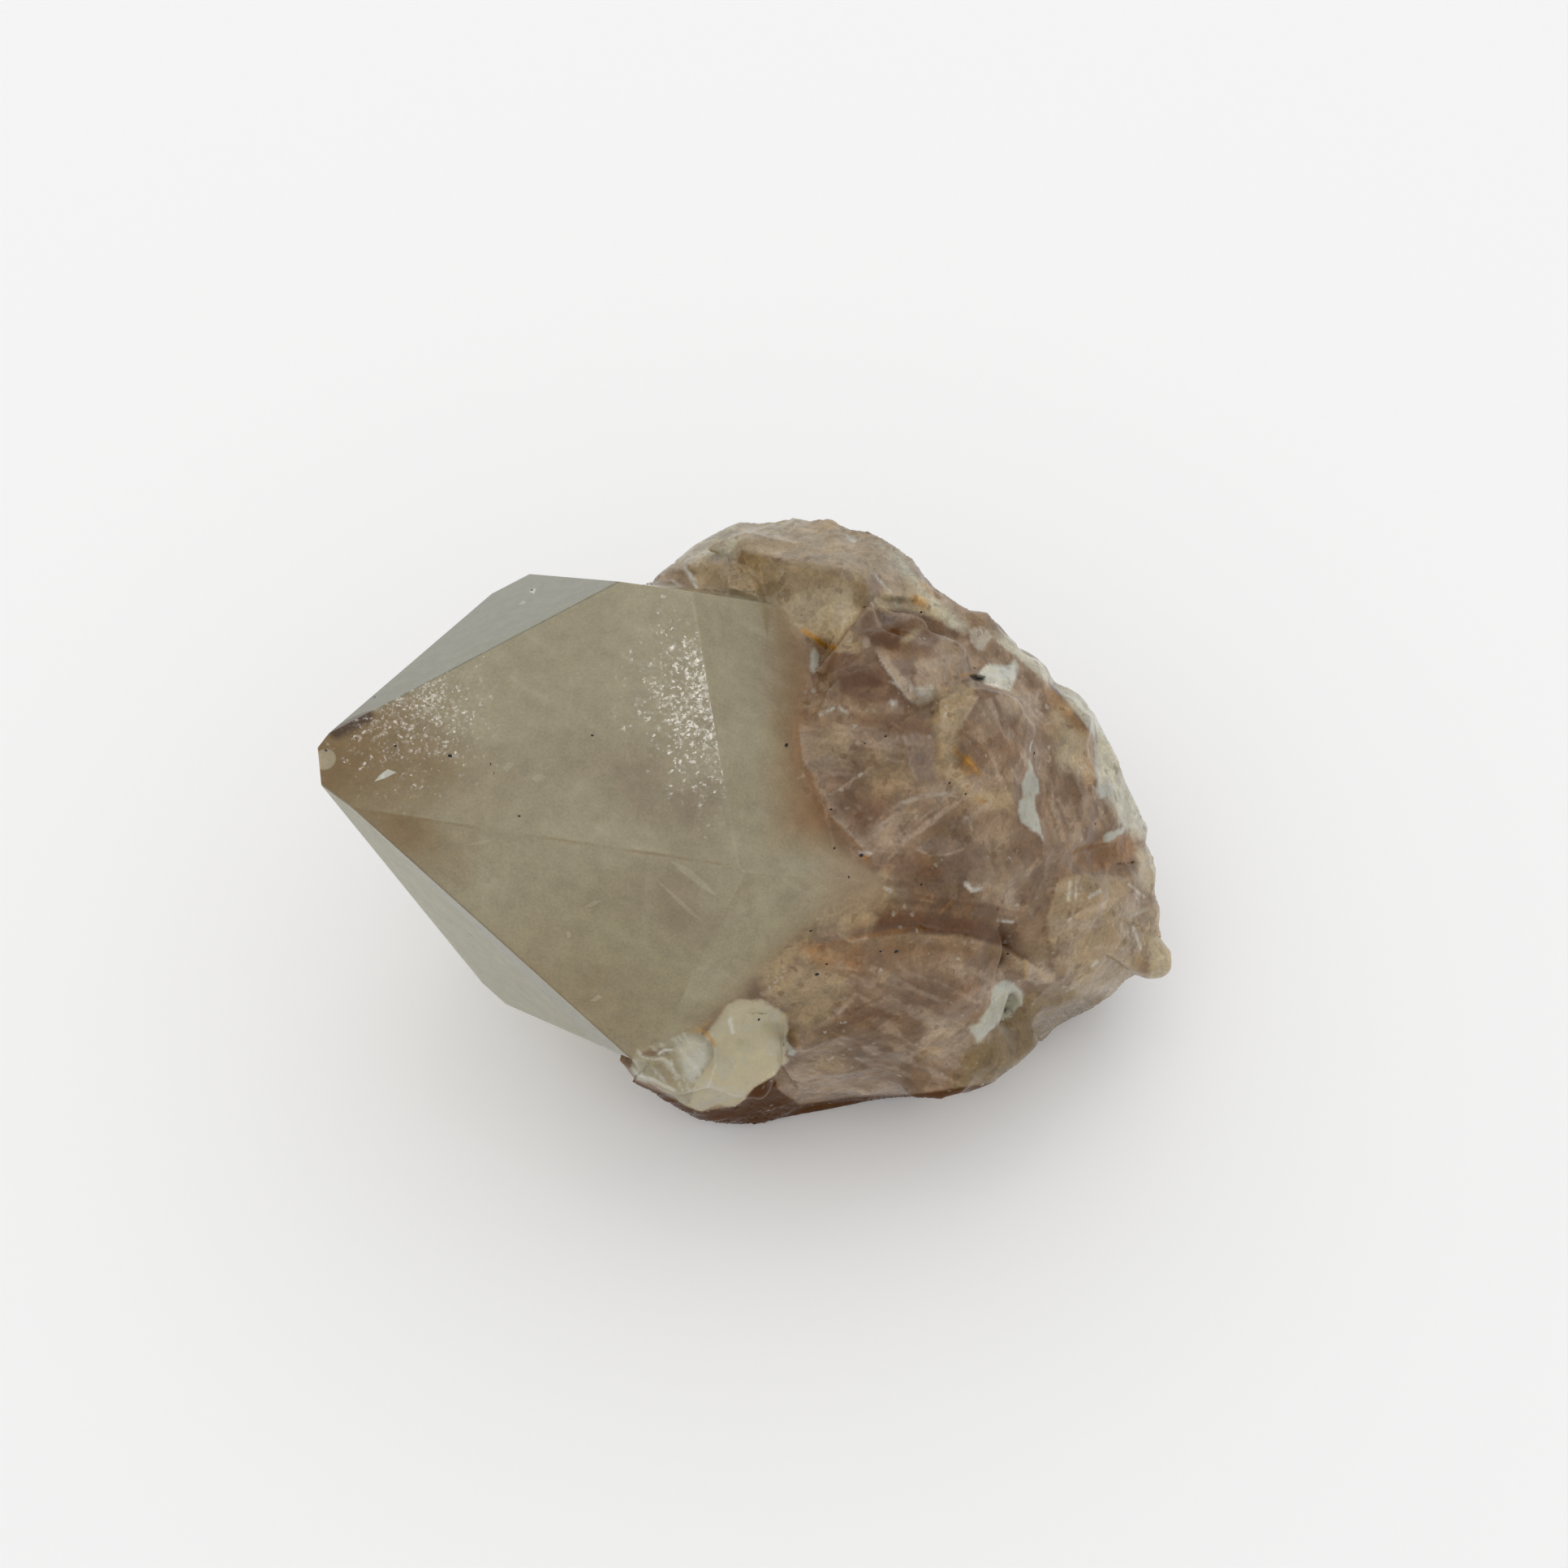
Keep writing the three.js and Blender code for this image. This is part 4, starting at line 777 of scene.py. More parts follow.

# Fine lines, and short strokes of painted glints: colour, strength, width and path
lines = (
    (VEIL, 0.8, 0.7, ((-10, 20.3), (-7.4, 20.7), (-4.6, 20.8))),
    # painted glints: a bright streak on the crystal behind the point
    (WHITE, 1.0, 0.45, ((-9.3, 20.3), (-8.8, 19.6), (-8.2, 18.4))),
    (WHITE, 1.0, 0.5, ((-8.8, 19.6), (-8.2, 18.4))),
    (WHITE, 0.7, 0.3, ((-10.5, 19.1), (-9.7, 18.5))),
    (WHITE, 0.6, 0.4, ((8.1, 20), (9.3, 18.7), (10.3, 17.6), (10.6, 16.7))),
    (RIM, 0.7, 1.6, ((10.6, 21.7), (11.5, 20), (12.4, 18.5), (14.5, 16.2), (15.8, 15.1))),
    (WHITE, 0.6, 0.8, ((5.9, 23.2), (6.5, 22.8))),
    (WHITE, 0.4, 0.3, ((9, 11.7), (11.5, 8.1), (12.3, 7.8))),
    # painted glints: two short bright strokes
    (WHITE, 0.8, 0.5, ((3.4, 6.5), (4.6, 7.1))),
    (WHITE, 0.8, 0.5, ((5.2, 7.1), (5.9, 6.7))),
    (ORANGE, 0.9, 0.8, ((1.8, 14.4), (2.9, 13.8), (3.8, 13), (4.7, 12.8))),
    (DEEP_ORANGE, 0.9, 0.7, ((3.2, 13.4), (4, 12.8), (4.6, 12.8))),
    (SAND, 0.7, 0.5, ((-0.2, 15.4), (1.8, 14.7), (3.3, 13.9), (4.9, 13.5))),
    (VEIL, 0.7, 0.4, ((18.1, 8.1), (16.4, 5.2), (14.1, 5.5))),
    (VEIL, 0.6, 0.4, PLATE_EDGE),
    (VEIL, 0.5, 0.35, ((2.9, 0.2), (3.6, -1.4), (4, -3), (4.8, -6.5))),
    (VEIL, 0.7, 0.3, ((4.3, -1), (6.2, 0.2), (8.4, 1.7))),
    (WHITE, 0.4, 0.6, ((10.9, -1.8), (13.2, -1.1), (15.1, -0.9))),
    (VEIL, 0.5, 0.4, ((15.5, -4.9), (16.1, -3.2))),
    (VEIL, 0.5, 0.4, ((16.4, -4), (17.2, -3), (17.6, -4.3))),
    (DEEP_ORANGE, 0.9, 0.8, ((16, 3.3), (16.2, 2.8))),
    (DEEP_ORANGE, 0.9, 0.7, ((16.5, 2.7), (16.9, 2.1), (16.8, 1.1), (17.5, 1.1))),
    (DEEP_ORANGE, 0.95, 1.1, ((17, 2.4), (17.6, 1.7), (18.2, 1))),
    (ORANGE, 0.6, 0.3, ((17, 2.4), (17.6, 1.8), (18, 1.3))),
    (DARK, 0.7, 0.4, ((16.3, 2.9), (16.8, 2.3), (16.6, 1.4))),
    (DARK, 0.6, 0.3, ((17.3, 1), (18.1, 0.8))),
    (DEEP_ORANGE, 0.7, 0.7, ((18.1, -1.4), (18.8, -1.6))),
    (DEEP_ORANGE, 0.7, 0.7, ((7.4, -6.8), (7.8, -7.3))),
    (ORANGE, 0.5, 0.7, ((16.7, 10.2), (17.5, 10.3))),
    (VEIL, 0.6, 0.4, ((12.5, -6.1), (13.6, -6.6), (15.4, -6.6), (16.8, -6.1))),
    # painted glint on the oval lump
    (WHITE, 0.8, 0.6, ((17, -9.3), (17.6, -10), (18.4, -9.8))),
    (DARK, 0.8, 0.7, LOWER_CREST[-3::-1]),
    (RUST, 0.7, 0.9, ((2.6, -15.6), (7.2, -14.4), (10.2, -13.8), (12.7, -13.6))),
    (VEIL, 0.6, 0.4, ((5.1, -14), (6.2, -14.8), (7.8, -14.4))),
    # painted glint, orange-white
    (ORANGE, 0.5, 0.5, ((14.7, -12), (15.2, -11.6), (15.7, -11))),
    (WHITE, 0.7, 0.4, ((20, -12.8), (21.4, -12.9))),
    (WHITE, 0.6, 0.4, ((32.4, -12.6), (33.4, -15.4))),
    (WHITE, 0.6, 0.4, ((32.5, -12.4), (33.9, -11.8))),
    (WHITE, 0.5, 0.4, ((32.3, -9.4), (33.7, -10.6))),
    (WHITE, 0.5, 0.5, ((26.8, -9.2), (26.6, -10.9))),
    (WHITE, 0.4, 0.4, ((27.4, -9), (27.3, -10.6))),
    (WHITE, 0.6, 0.6, ((28.9, -17), (29.3, -16.6))),
    (WHITE, 0.5, 0.6, ((28.6, -10.6), (29.6, -10))),
    (VEIL, 0.5, 0.4, ((30.3, -12.8), (31.3, -14), (31.5, -15.1))),
    (WHITE, 0.6, 0.5, ((12.5, 7.6), (13.7, 7.9))),
    (WHITE, 0.5, 0.4, ((11.4, 9.9), (12, 9.1), (11.8, 8.7))),
    (WHITE, 0.6, 0.5, ((9.4, -9.7), (10, -10))),
    (VEIL, 0.6, 0.4, ((14.4, 5.5), (15.5, 6.5), (17.5, 7.1))),
    (VEIL, 0.5, 0.3, ((11.2, 4.6), (11.9, 1.5), (12.5, 0.3))),
    (VEIL, 0.5, 0.3, ((5.6, 4.6), (8.3, 3.9), (10.2, 3.7))),
    (VEIL, 0.4, 0.3, ((21.4, 5), (22.5, 3.1), (22.6, 1.6))),
    (WHITE, 0.5, 0.4, ((7, -6.4), (8.1, -6.5))),
    (DARK, 0.6, 0.3, ((8.4, -12.3), (10.9, -11.9), (14, -12.2))),
    (DARK, 0.6, 0.3, ((11.7, -13), (15.1, -13.1), (18.2, -13.8))),
    (ORANGE, 0.7, 0.4, ((22.6, -16.6), (22.6, -18.2))),
    (VEIL, 0.5, 0.7, ((2.4, -23), (4.3, -22.2), (6.1, -20.4), (6.6, -19.7))),
)
patchy = 0.7 + 0.5 * soft_noise(places, 1.1 * MM, 600)
for colour, strength, width, path in lines:
    paint(colour, strength * patchy * stroke(path, width))

# The underside is painted dark: painted shade where it is out of the light
LOWER_EDGE = ((-17.2, -26.1), (-10.4, -29.5), (-7.8, -30.6), (-4.6, -30.2), (-2.8, -28.4), (-1, -27),
              (-0.5, -28.6), (1.4, -30), (6.4, -29.3), (12.5, -29), (21.6, -27.7), (27.7, -24.6), (33, -20.8))
along_edge = np.interp(shown[:, 0], *np.array(LOWER_EDGE).T)
turned_away = ease(0.1, -0.1, normals @ OUT)
under = np.maximum(ease(2 * MM, 0.3 * MM, places[:, 2]), ease(0.1, 0.5, -normals[:, 2]))
under = np.maximum(ease(-0.15, 0.15, along_edge - shown[:, 1]), 0.8 * turned_away * under)
paint(UNDERSIDE_SHADE, 0.95 * under)

# The cream disc and its shell
is_disc, is_shell = ease(-0.1, 0.12, disc), ease(-0.1, 0.12, shell)
paint(CREAM, is_disc)
paint(CLEAR, is_shell * ease(0.1, -0.1, disc))
paint(SAND, 0.5 * is_disc * ease(0.5, 0.0, disc))
DULL_MIDDLE = ((-12.2, -25.8), (-10.6, -25.5), (-9.7, -27.1), (-10, -28.6), (-11.7, -27.7))
PALE_RIGHT = ((-10.2, -24.8), (-8.8, -23.6), (-7, -24.2), (-7.1, -26.1), (-8.4, -28), (-9.3, -27.4))
paint(OLIVE, 0.35 * is_shell * ease(-0.6, 0.6, within(DULL_MIDDLE)))
paint(WHITE, 0.5 * is_shell * ease(-0.4, 0.6, within(PALE_RIGHT)))
paint(PURPLE, 0.85 * pocket)
paint(WHITE, 0.35 * is_shell * ease(0.1, 0.6, streaks(-50, 2.2, 0.45, 700)))
for colour, strength, width, path in (
    (WHITE, 0.6, 0.4, ((-13.8, -24.9), (-13.2, -25.6), (-12.2, -25.8), (-11.2, -25.7), (-10.5, -26.3))),
    (WHITE, 0.9, 0.4, ((-11.7, -25.2), (-11.1, -24.9), (-10.5, -24.9))),
    (WHITE, 0.4, 0.3, ((-10.6, -25.8), (-10.2, -27.4), (-9.4, -28.9))),
    (WHITE, 0.5, 0.5, ((-14, -27.1), (-12.2, -27.7), (-10.3, -28.7))),
    # painted highlight on the cream disc
    (WHITE, 0.8, 0.5, ((-5.1, -21.9), (-4.8, -23.3))),
    (WHITE, 0.4, 0.3, ((-7.4, -23.6), (-6.5, -24.6), (-6.4, -26.3), (-7.1, -28.4))),
    (ORANGE, 0.6, 0.5, ((-8.2, -22.8), (-7.4, -23.3), (-6.8, -23.9), (-6.5, -24.5))),
    (ORANGE, 0.3, 0.8, ((-7.1, -22.2), (-7.9, -23), (-9, -23))),
):
    paint(colour, strength * stroke(path, width))
paint(FLAKE * (1 + 0.12 * small_cloud + 0.2 * (small_breaks - 0.5))[:, None], white)
WHITE_PATCH = ((18.1, 10.2), (19, 11.2), (20.2, 10.9), (21.6, 11.2), (21.7, 9.9), (21.2, 8.7), (20.1, 9),
               (18.2, 9.5))
paint(WHITE, 0.9 * ease(-0.1, 0.1, within(WHITE_PATCH)) * ease(-0.2, 0.1, small_cloud))
# the hole's painted shade
paint(BLACK, hole)
painted = np.clip(np.maximum.reduce([rough, is_disc, is_shell, white]), 0, 1)

for name, values in (("painted", painted), ("under", under)):
    skin.attributes.new(name, "FLOAT", "POINT").data.foreach_set("value", values.astype(np.float32))
clear_of_breaks = 1 - np.maximum.reduce([0.8 * is_disc, 0.6 * is_shell, 0.6 * white, 0.5 * under])
colours = np.concatenate([stone, clear_of_breaks[:, None]], axis=1).astype(np.float32)
skin.attributes.new("stone", "FLOAT_COLOR", "POINT").data.foreach_set("color", colours.ravel())

# Flat faces need few triangles and crests many, so the finest skin is thinned where it is flat
MOST_TRIANGLES = 194_000
thinned = skin_object.vertex_groups.new(name="thinned")
near_paint = painted > 0.02
for widening in range(3):
    touched = near_paint[ends].any(axis=1)
    near_paint[ends[touched].ravel()] = True
keep = near_paint & (normals @ OUT > -0.1)
thinned.add(np.flatnonzero(~keep).tolist(), 1.0, "REPLACE")
thinned.add(np.flatnonzero(keep).tolist(), 0.3, "REPLACE")
thin = skin_object.modifiers.new("thin", "DECIMATE")
thin.vertex_group = "thinned"
thin.ratio = min(1.0, MOST_TRIANGLES / (2 * len(skin.polygons)))
finished = bpy.data.meshes.new_from_object(skin_object.evaluated_get(bpy.context.evaluated_depsgraph_get()))
bpy.data.objects.remove(skin_object)
finished.name = "citrine_specimen"
first_corners = np.empty(len(finished.polygons), dtype=np.int32)
finished.polygons.foreach_get("loop_start", first_corners)
corner_vertices = np.empty(len(finished.loops), dtype=np.int32)
finished.loops.foreach_get("vertex_index", corner_vertices)


def of_faces(name):
    """A value kept at the vertices, read for each triangle: the largest of its three corners'."""
    kept = np.empty(len(finished.vertices), dtype=np.float32)
    finished.attributes[name].data.foreach_get("value", kept)
    return kept[corner_vertices[first_corners[:, None] + np.arange(3)]].max(axis=1)


finished.polygons.foreach_set("use_smooth", of_faces("painted") > 0.01)
finished.set_sharp_from_angle(angle=math.radians(30))
specimen = bpy.data.objects.new("citrine_specimen", finished)
bpy.context.scene.collection.objects.link(specimen)

# The quartz
# Hazy natural quartz: satin on the faces that the point grew, a little rougher on the broken root. Light enters
# a short way and comes back warm. The point's haze, smoke, rust and chips are worked out from the place alone.
quartz = bpy.data.materials.new("quartz")
quartz.use_nodes = True
nodes, links = quartz.node_tree.nodes, quartz.node_tree.links
surface = nodes["Principled BSDF"]
coordinates = nodes.new("ShaderNodeTexCoord").outputs["Object"]


def connect(value, socket):
    """Links a value to a socket, or sets it there. A colour comes as an array."""
    if isinstance(value, bpy.types.NodeSocket):
        links.new(value, socket)
    else:
        socket.default_value = (*value, 1.0) if isinstance(value, np.ndarray) else value


def made(kind, output, inputs, operation=None):
    """One output of a new node of this kind, with its inputs linked or set."""
    node = nodes.new("ShaderNode" + kind)
    if operation:
        node.operation = operation
    for name, value in inputs.items():
        connect(value, node.inputs[name])
    return node.outputs[output]


def attribute(name, output):
    """A value that the mesh keeps at its vertices."""
    node = nodes.new("ShaderNodeAttribute")
    node.attribute_name = name
    return node.outputs[output]


def mix(share, first, second):
    """The first colour where the share is 0, the second where it is 1."""
    node = nodes.new("ShaderNodeMix")
    node.data_type = "RGBA"
    for name, value in (("Factor", share), ("A", first), ("B", second)):
        connect(value, node.inputs[name])
    return node.outputs["Result"]


def math_node(operation, first, second):
    """One sum, product or the like of two numbers."""
    return made("Math", "Value", {0: first, 1: second}, operation)


def product(first, second):
    """Two numbers multiplied."""
    return math_node("MULTIPLY", first, second)


def vector_math(operation, first, second):
    """One sum, product or the like of two vectors."""
    return made("VectorMath", "Vector", {0: first, 1: second}, operation)


def scaled(colour, share):
    """A colour made this many times as bright."""
    return made("VectorMath", "Vector", {0: colour, "Scale": share}, "SCALE")


def channel(colour, number):
    """A colour's red, green or blue, as number 0, 1 or 2."""
    return made("SeparateColor", number, {"Color": colour})


def spread(value, low, high, to_low=0.0, to_high=1.0):
    """The value stretched so that low becomes to_low and high becomes to_high, and held between them."""
    limits = {"From Min": low, "From Max": high, "To Min": to_low, "To Max": to_high}
    return made("MapRange", "Result", {**limits, "Value": value})


def noise(size, detail, distortion=0.0):
    """Cloudy noise about this wide, 0 to 1."""
    look = {"Scale": 1 / size, "Detail": detail, "Distortion": distortion, "Roughness": 0.55}
    return made("TexNoise", "Fac", {**look, "Vector": coordinates})


@functools.cache
def facets(size):
    """Straight-sided cells about this wide, a little bent, with a random colour each."""
    bend = made("TexNoise", "Color", {"Scale": 0.5 / size, "Vector": coordinates})
    bent = vector_math("ADD", coordinates, vector_math("MULTIPLY", bend, (0.7 * size,) * 3))
    return made("TexVoronoi", "Color", {"Scale": 1 / size, "Vector": bent})


def height_along(direction, through):
    """How far each place is past the plane through this place, in this direction, in metres."""
    along = made("VectorMath", "Value", {0: coordinates, 1: tuple(direction)}, "DOT_PRODUCT")
    return math_node("SUBTRACT", along, float(np.dot(direction, through)))


def away_from(place):
    """How far each place is from this place, in metres."""
    return made("VectorMath", "Value", {0: coordinates, 1: tuple(place)}, "DISTANCE")


def drawn_out(direction, length, width, detail=3.0):
    """Noise drawn out along one direction."""
    direction = direction / np.linalg.norm(direction)
    across = np.cross(direction, OUT)
    across /= np.linalg.norm(across)
    both = {"X": product(height_along(direction, (0, 0, 0)), 1 / length),
            "Y": product(height_along(across, (0, 0, 0)), 1 / width)}
    vector = made("CombineXYZ", "Vector", both)
    return made("TexNoise", "Fac", {"Scale": 1.0, "Detail": detail, "Vector": vector})


def at_face(number, right, rise):
    """The place on one of the point's faces that the ruler shows at right and rise."""
    eye = RULER_MIDDLE + EYE_DISTANCE * OUT
    sight = MM * (right * RIGHT + rise * RISE) - EYE_DISTANCE * OUT
    return eye + sight * (FACE_REACHES[number] - FACE_NORMALS[number] @ eye) / (FACE_NORMALS[number] @ sight)


@functools.cache
def off_face(number):
    """How far each place is from the plane of one of the point's faces, to either side, in metres."""
    beyond = height_along(FACE_NORMALS[number], FACE_NORMALS[number] * FACE_REACHES[number])
    return math_node("ABSOLUTE", beyond, 0.0)


@functools.cache
def on_face(number):
    """1 on one of the point's faces, 0 off it."""
    return spread(off_face(number), 0.05 * MM, 0.15 * MM, 1.0, 0.0)


def edge_line(first, second, width):
    """1 along the edge between two of the point's faces, falling to 0 this far, in metres, from it."""
    return product(*(spread(off_face(number), 0, width, 1.0, 0.0) for number in (first, second)))


def blot(number, place, reach, warp):
    """1 at a place on one of the faces, falling unevenly to 0 about this many millimetres from it."""
    uneven = product(math_node("SUBTRACT", warp, 0.5), 1.2 * reach * MM)
    return spread(math_node("ADD", away_from(at_face(number, *place)), uneven), 0, reach * MM, 1.0, 0.0)


def mark(number, outline):
    """1 inside a straight-sided outline on one of the point's faces, 0 outside it. No corner points inward."""
    corners = np.array([at_face(number, *place) for place in outline])
    middle = corners.mean(axis=0)
    inside = on_face(number)
    for start, end in zip(corners, np.roll(corners, -1, axis=0)):
        inward = np.cross(FACE_NORMALS[number], end - start)
        inward *= np.sign((middle - start) @ inward) / np.linalg.norm(inward)
        inside = product(spread(height_along(inward, start), -0.02 * MM, 0.04 * MM), inside)
    return inside


HAZE = linear(176, 166, 135)
HAZE_DARK = linear(157, 144, 112)
HAZE_LIGHT = linear(188, 180, 153)
REFLECTION_GREY = linear(142, 141, 120)
SMOKE = linear(138, 112, 72)
DARK_SMOKE = linear(84, 62, 38)
LILAC_SMOKE = linear(140, 122, 98)
FOOT = linear(150, 112, 66)
PALE_FOOT = linear(176, 156, 120)
PINK_FOOT = linear(166, 138, 108)
CHIP = linear(190, 178, 150)
FLAKE_WHITE = linear(215, 214, 200)

# Layers over the haze, from the lowest up: where each lies, how strong it is, and its colour
TIP = tuple(places[np.argmin(places[:, 0])])
layers = [
    (spread(noise(3.2 * MM, 4, 0.8), 0.5, 0.72), 0.4, LILAC_SMOKE),
    (spread(drawn_out(RIGHT - 0.7 * RISE, 6 * MM, 1.6 * MM), 0.55, 0.72), 0.4, HAZE_LIGHT),
    (spread(drawn_out(0.3 * RIGHT + RISE, 5 * MM, 1.2 * MM), 0.58, 0.72), 0.3, HAZE_DARK),
    # painted light: three of the point's faces each lighter by its own amount, for how the light falls on them
    (on_face(7), 0.5, HAZE_LIGHT),
    (on_face(8), 0.35, HAZE_LIGHT),
    (on_face(1), 0.25, HAZE_LIGHT),
    (spread(away_from(TIP), 4 * MM, 14 * MM, 1.0, 0.0), 0.95, SMOKE),
    # painted reflection: the two narrow faces, seen at a glancing angle, greyed for the sky reflected in them
    (on_face(6), 0.9, REFLECTION_GREY),
    (on_face(9), 0.9, REFLECTION_GREY),
]

# Darker blots in the haze: face, colour, strength, how far each reaches in millimetres, and places
warp = noise(5 * MM, 4)
for number, colour, strength, reach, blot_places in (
    (7, SMOKE, 0.45, 6, ((-35.4, 3.1), (-30.9, 0.5))),
    (7, LILAC_SMOKE, 0.6, 5.5, ((-13.4, 0.1), (-8.8, -2.6))),
    (7, LILAC_SMOKE, 0.35, 7, ((-6.5, 5), (-20.2, 2))),
    (8, LILAC_SMOKE, 0.6, 5, ((-11.5, -10.2), (-8.8, -12.8))),
    (8, SMOKE, 0.7, 5, ((-36.2, -4), (-33.1, -5.6))),
    (8, HAZE_DARK, 0.7, 11, ((-14.9, -16.3), (-11.1, -20.8))),
    (8, SMOKE, 0.35, 8, ((-24.8, -17.8), (-17.2, -23.1))),
):
    for place in blot_places:
        layers.append((product(blot(number, place, reach, warp), on_face(number)), strength, colour))

# A fine line along the lower edge, a dark crest beside the tip, and a round chip at the tip
broken_line = spread(noise(1.6 * MM, 3), 0.25, 0.6)
crest_end = spread(away_from(at_face(7, -40.3, 5.2)), 1.6 * MM, 2.6 * MM, 1.0, 0.0)
layers += [
    (product(edge_line(7, 8, 0.18 * MM), broken_line), 0.6, SMOKE),
    (edge_line(8, 9, 0.2 * MM), 0.4, SMOKE),
    (spread(product(edge_line(6, 7, 1.1 * MM), crest_end), 0.2, 0.6), 0.95, DARK_SMOKE),
    (spread(away_from(at_face(7, -43, 2.3)), 0.9 * MM, 1.05 * MM, 1.0, 0.0), 0.75, CHIP),
]

# Chips on the faces: face, colour, strength and outline
for number, colour, strength, outline in (
    (7, FLAKE_WHITE, 0.95, ((-38.4, 0.2), (-37.8, 0.9), (-37.1, 1.4), (-36.3, 1.1), (-37.2, 0.6))),
    (6, HAZE_LIGHT, 0.9, ((-24.9, 16.8), (-24.5, 17.2), (-24.1, 17.1), (-24.4, 16.8))),
    (6, FLAKE_WHITE, 0.9, ((-23.9, 18), (-23.5, 18.3), (-23.2, 18.3), (-23.4, 17.8))),
    (6, BLACK, 0.9, ((-38.5, 8.1), (-38.4, 8.3), (-38.2, 8.2), (-38.3, 8))),
    (7, BLACK, 0.9, ((-43.1, 3.2), (-42.9, 3.3), (-42.7, 3.1), (-42.9, 3))),
    (7, BLACK, 0.8, ((-27.6, 2), (-27.4, 2), (-27.4, 1.7), (-27.5, 1.7))),
    (7, BLACK, 0.6, ((-27.3, 1.1), (-27.1, 1.1), (-27.1, 0.9), (-27.2, 0.9))),
    (7, HAZE_LIGHT, 0.5, ((-26.4, 1.5), (-25.7, 2.1), (-25.2, 1.9), (-25.9, 1.1))),
    (7, HAZE_LIGHT, 0.5, ((-23.7, 0.5), (-22.8, 1.1), (-22.3, 0.7), (-23.1, 0.1))),
    (8, CHIP, 0.5, ((-29.5, -5.7), (-28.6, -5.3), (-26.9, -5.1), (-28.3, -5.7))),
    (8, CHIP, 0.5, ((-18.7, -11.5), (-17.8, -10.9), (-17.1, -11), (-18, -11.5))),
    (8, CHIP, 0.7, ((-20.4, -13.8), (-20, -13.8), (-19.9, -14.3), (-20.3, -14.4))),
    (8, CHIP, 0.6, ((-18.2, -20.3), (-17.4, -19.7), (-17, -20), (-17.7, -20.4))),
    (8, HAZE_LIGHT, 0.5, ((-10.8, -7.1), (-8.8, -7.9), (-6.2, -10.4), (-6.8, -10.3), (-9.1, -8.7))),
    (8, HAZE_LIGHT, 0.12, ((-13.5, -14), (-12.8, -7), (-12.2, -7.1), (-12.6, -14))),
    (8, HAZE_LIGHT, 0.35, ((-12.6, -8.3), (-8.8, -11.6), (-7.6, -12.9), (-9.1, -12))),
):
    layers.append((mark(number, outline), strength, colour))

# Short dashes on the lower face, and the rust that gathers in the point's foot where the root closes round it
dashes = spread(drawn_out(RIGHT - 0.7 * RISE, 0.9 * MM, 0.22 * MM, 1.0), 0.7, 0.74)
dashes = product(product(dashes, on_face(9)), spread(noise(5 * MM, 2), 0.4, 0.6))
right_of_seam = spread(height_along(RIGHT, seen(-2.6, 8, 18)), 0, 3.6 * MM)
above_ridge = spread(height_along(RISE, seen(0, -7.5, 18)), 0, 3.5 * MM)
below_ridge = spread(height_along((RIGHT - RISE) / math.sqrt(2), seen(-0.7, -16.7, 14)), -3 * MM, 3 * MM)
spur = spread(height_along(RIGHT, seen(1.4, -9, 16)), 0, 5 * MM)
layers += [
    (dashes, 0.6, DARK_SMOKE),
    (below_ridge, 0.6, PALE_FOOT),
    (spur, 0.75, PINK_FOOT),
    (product(right_of_seam, above_ridge), 0.75, FOOT),
]
point_colour = mix(spread(noise(9 * MM, 5, 0.6), 0.35, 0.7), HAZE_DARK, HAZE)
for share, strength, colour in layers:
    point_colour = mix(product(share, strength), point_colour, colour)
fine_grain, coarse_grain = (spread(noise(size * MM, detail), 0.3, 0.7, 0.91, 1.09)
                            for size, detail in ((0.25, 3), (1.6, 5)))
point_colour = scaled(point_colour, product(fine_grain, coarse_grain))

# Small facets and grain over the root, each a little lighter or darker, warmer or greyer
facet_shade = spread(noise(0.32 * MM, 3), 0.3, 0.7, 0.85, 1.15)
for size, uneven in ((1.9, 0.09), (0.8, 0.12), (4, 0.08)):
    one_shade = spread(channel(facets(size * MM), 0), 0, 1, 1 - uneven, 1 + uneven)
    facet_shade = product(facet_shade, one_shade)
WARMER, GREYER = np.array([1.03, 1.0, 0.94]), np.array([0.98, 0.99, 1.05])
tint = mix(channel(facets(1.9 * MM), 1), WARMER, GREYER)
clear_stone = attribute("stone", "Alpha")
root_colour = vector_math("MULTIPLY", attribute("stone", "Color"), tint)
root_colour = scaled(root_colour, spread(clear_stone, 0, 1, 1.0, facet_shade))
# Painted glints: scattered tiny cells over the root, mixed towards white
painted_glints = product(spread(channel(facets(0.36 * MM), 2), 0.95, 0.97), spread(noise(3 * MM, 3), 0.5, 0.65))
root_colour = mix(product(painted_glints, 0.3), root_colour, WHITE)
pits = product(spread(channel(facets(0.6 * MM), 1), 0.06, 0.04), clear_stone)
root_colour = mix(product(pits, 0.35), root_colour, DARK)

# The point's colour and shine, and the root's where it is painted
is_root = attribute("painted", "Fac")
QUARTZ_IOR = 1.544
for value, name in (
    (mix(is_root, point_colour, root_colour), "Base Color"),
    (spread(is_root, 0, 1, 0.085, 0.2), "Roughness"),
    (QUARTZ_IOR, "IOR"),
    (0.25, "Specular IOR Level"),
    (spread(is_root, 0, 1, 0.3, 0.12), "Transmission Weight"),
    (0.3, "Subsurface Weight"),
    ((1.0, 0.8, 0.6), "Subsurface Radius"),
    (0.6 * MM, "Subsurface Scale"),
):
    connect(value, surface.inputs[name])
warm_tint = made("VolumeAbsorption", "Volume", {"Color": np.array([0.86, 0.76, 0.5]), "Density": 12.0})
links.new(warm_tint, nodes["Material Output"].inputs["Volume"])


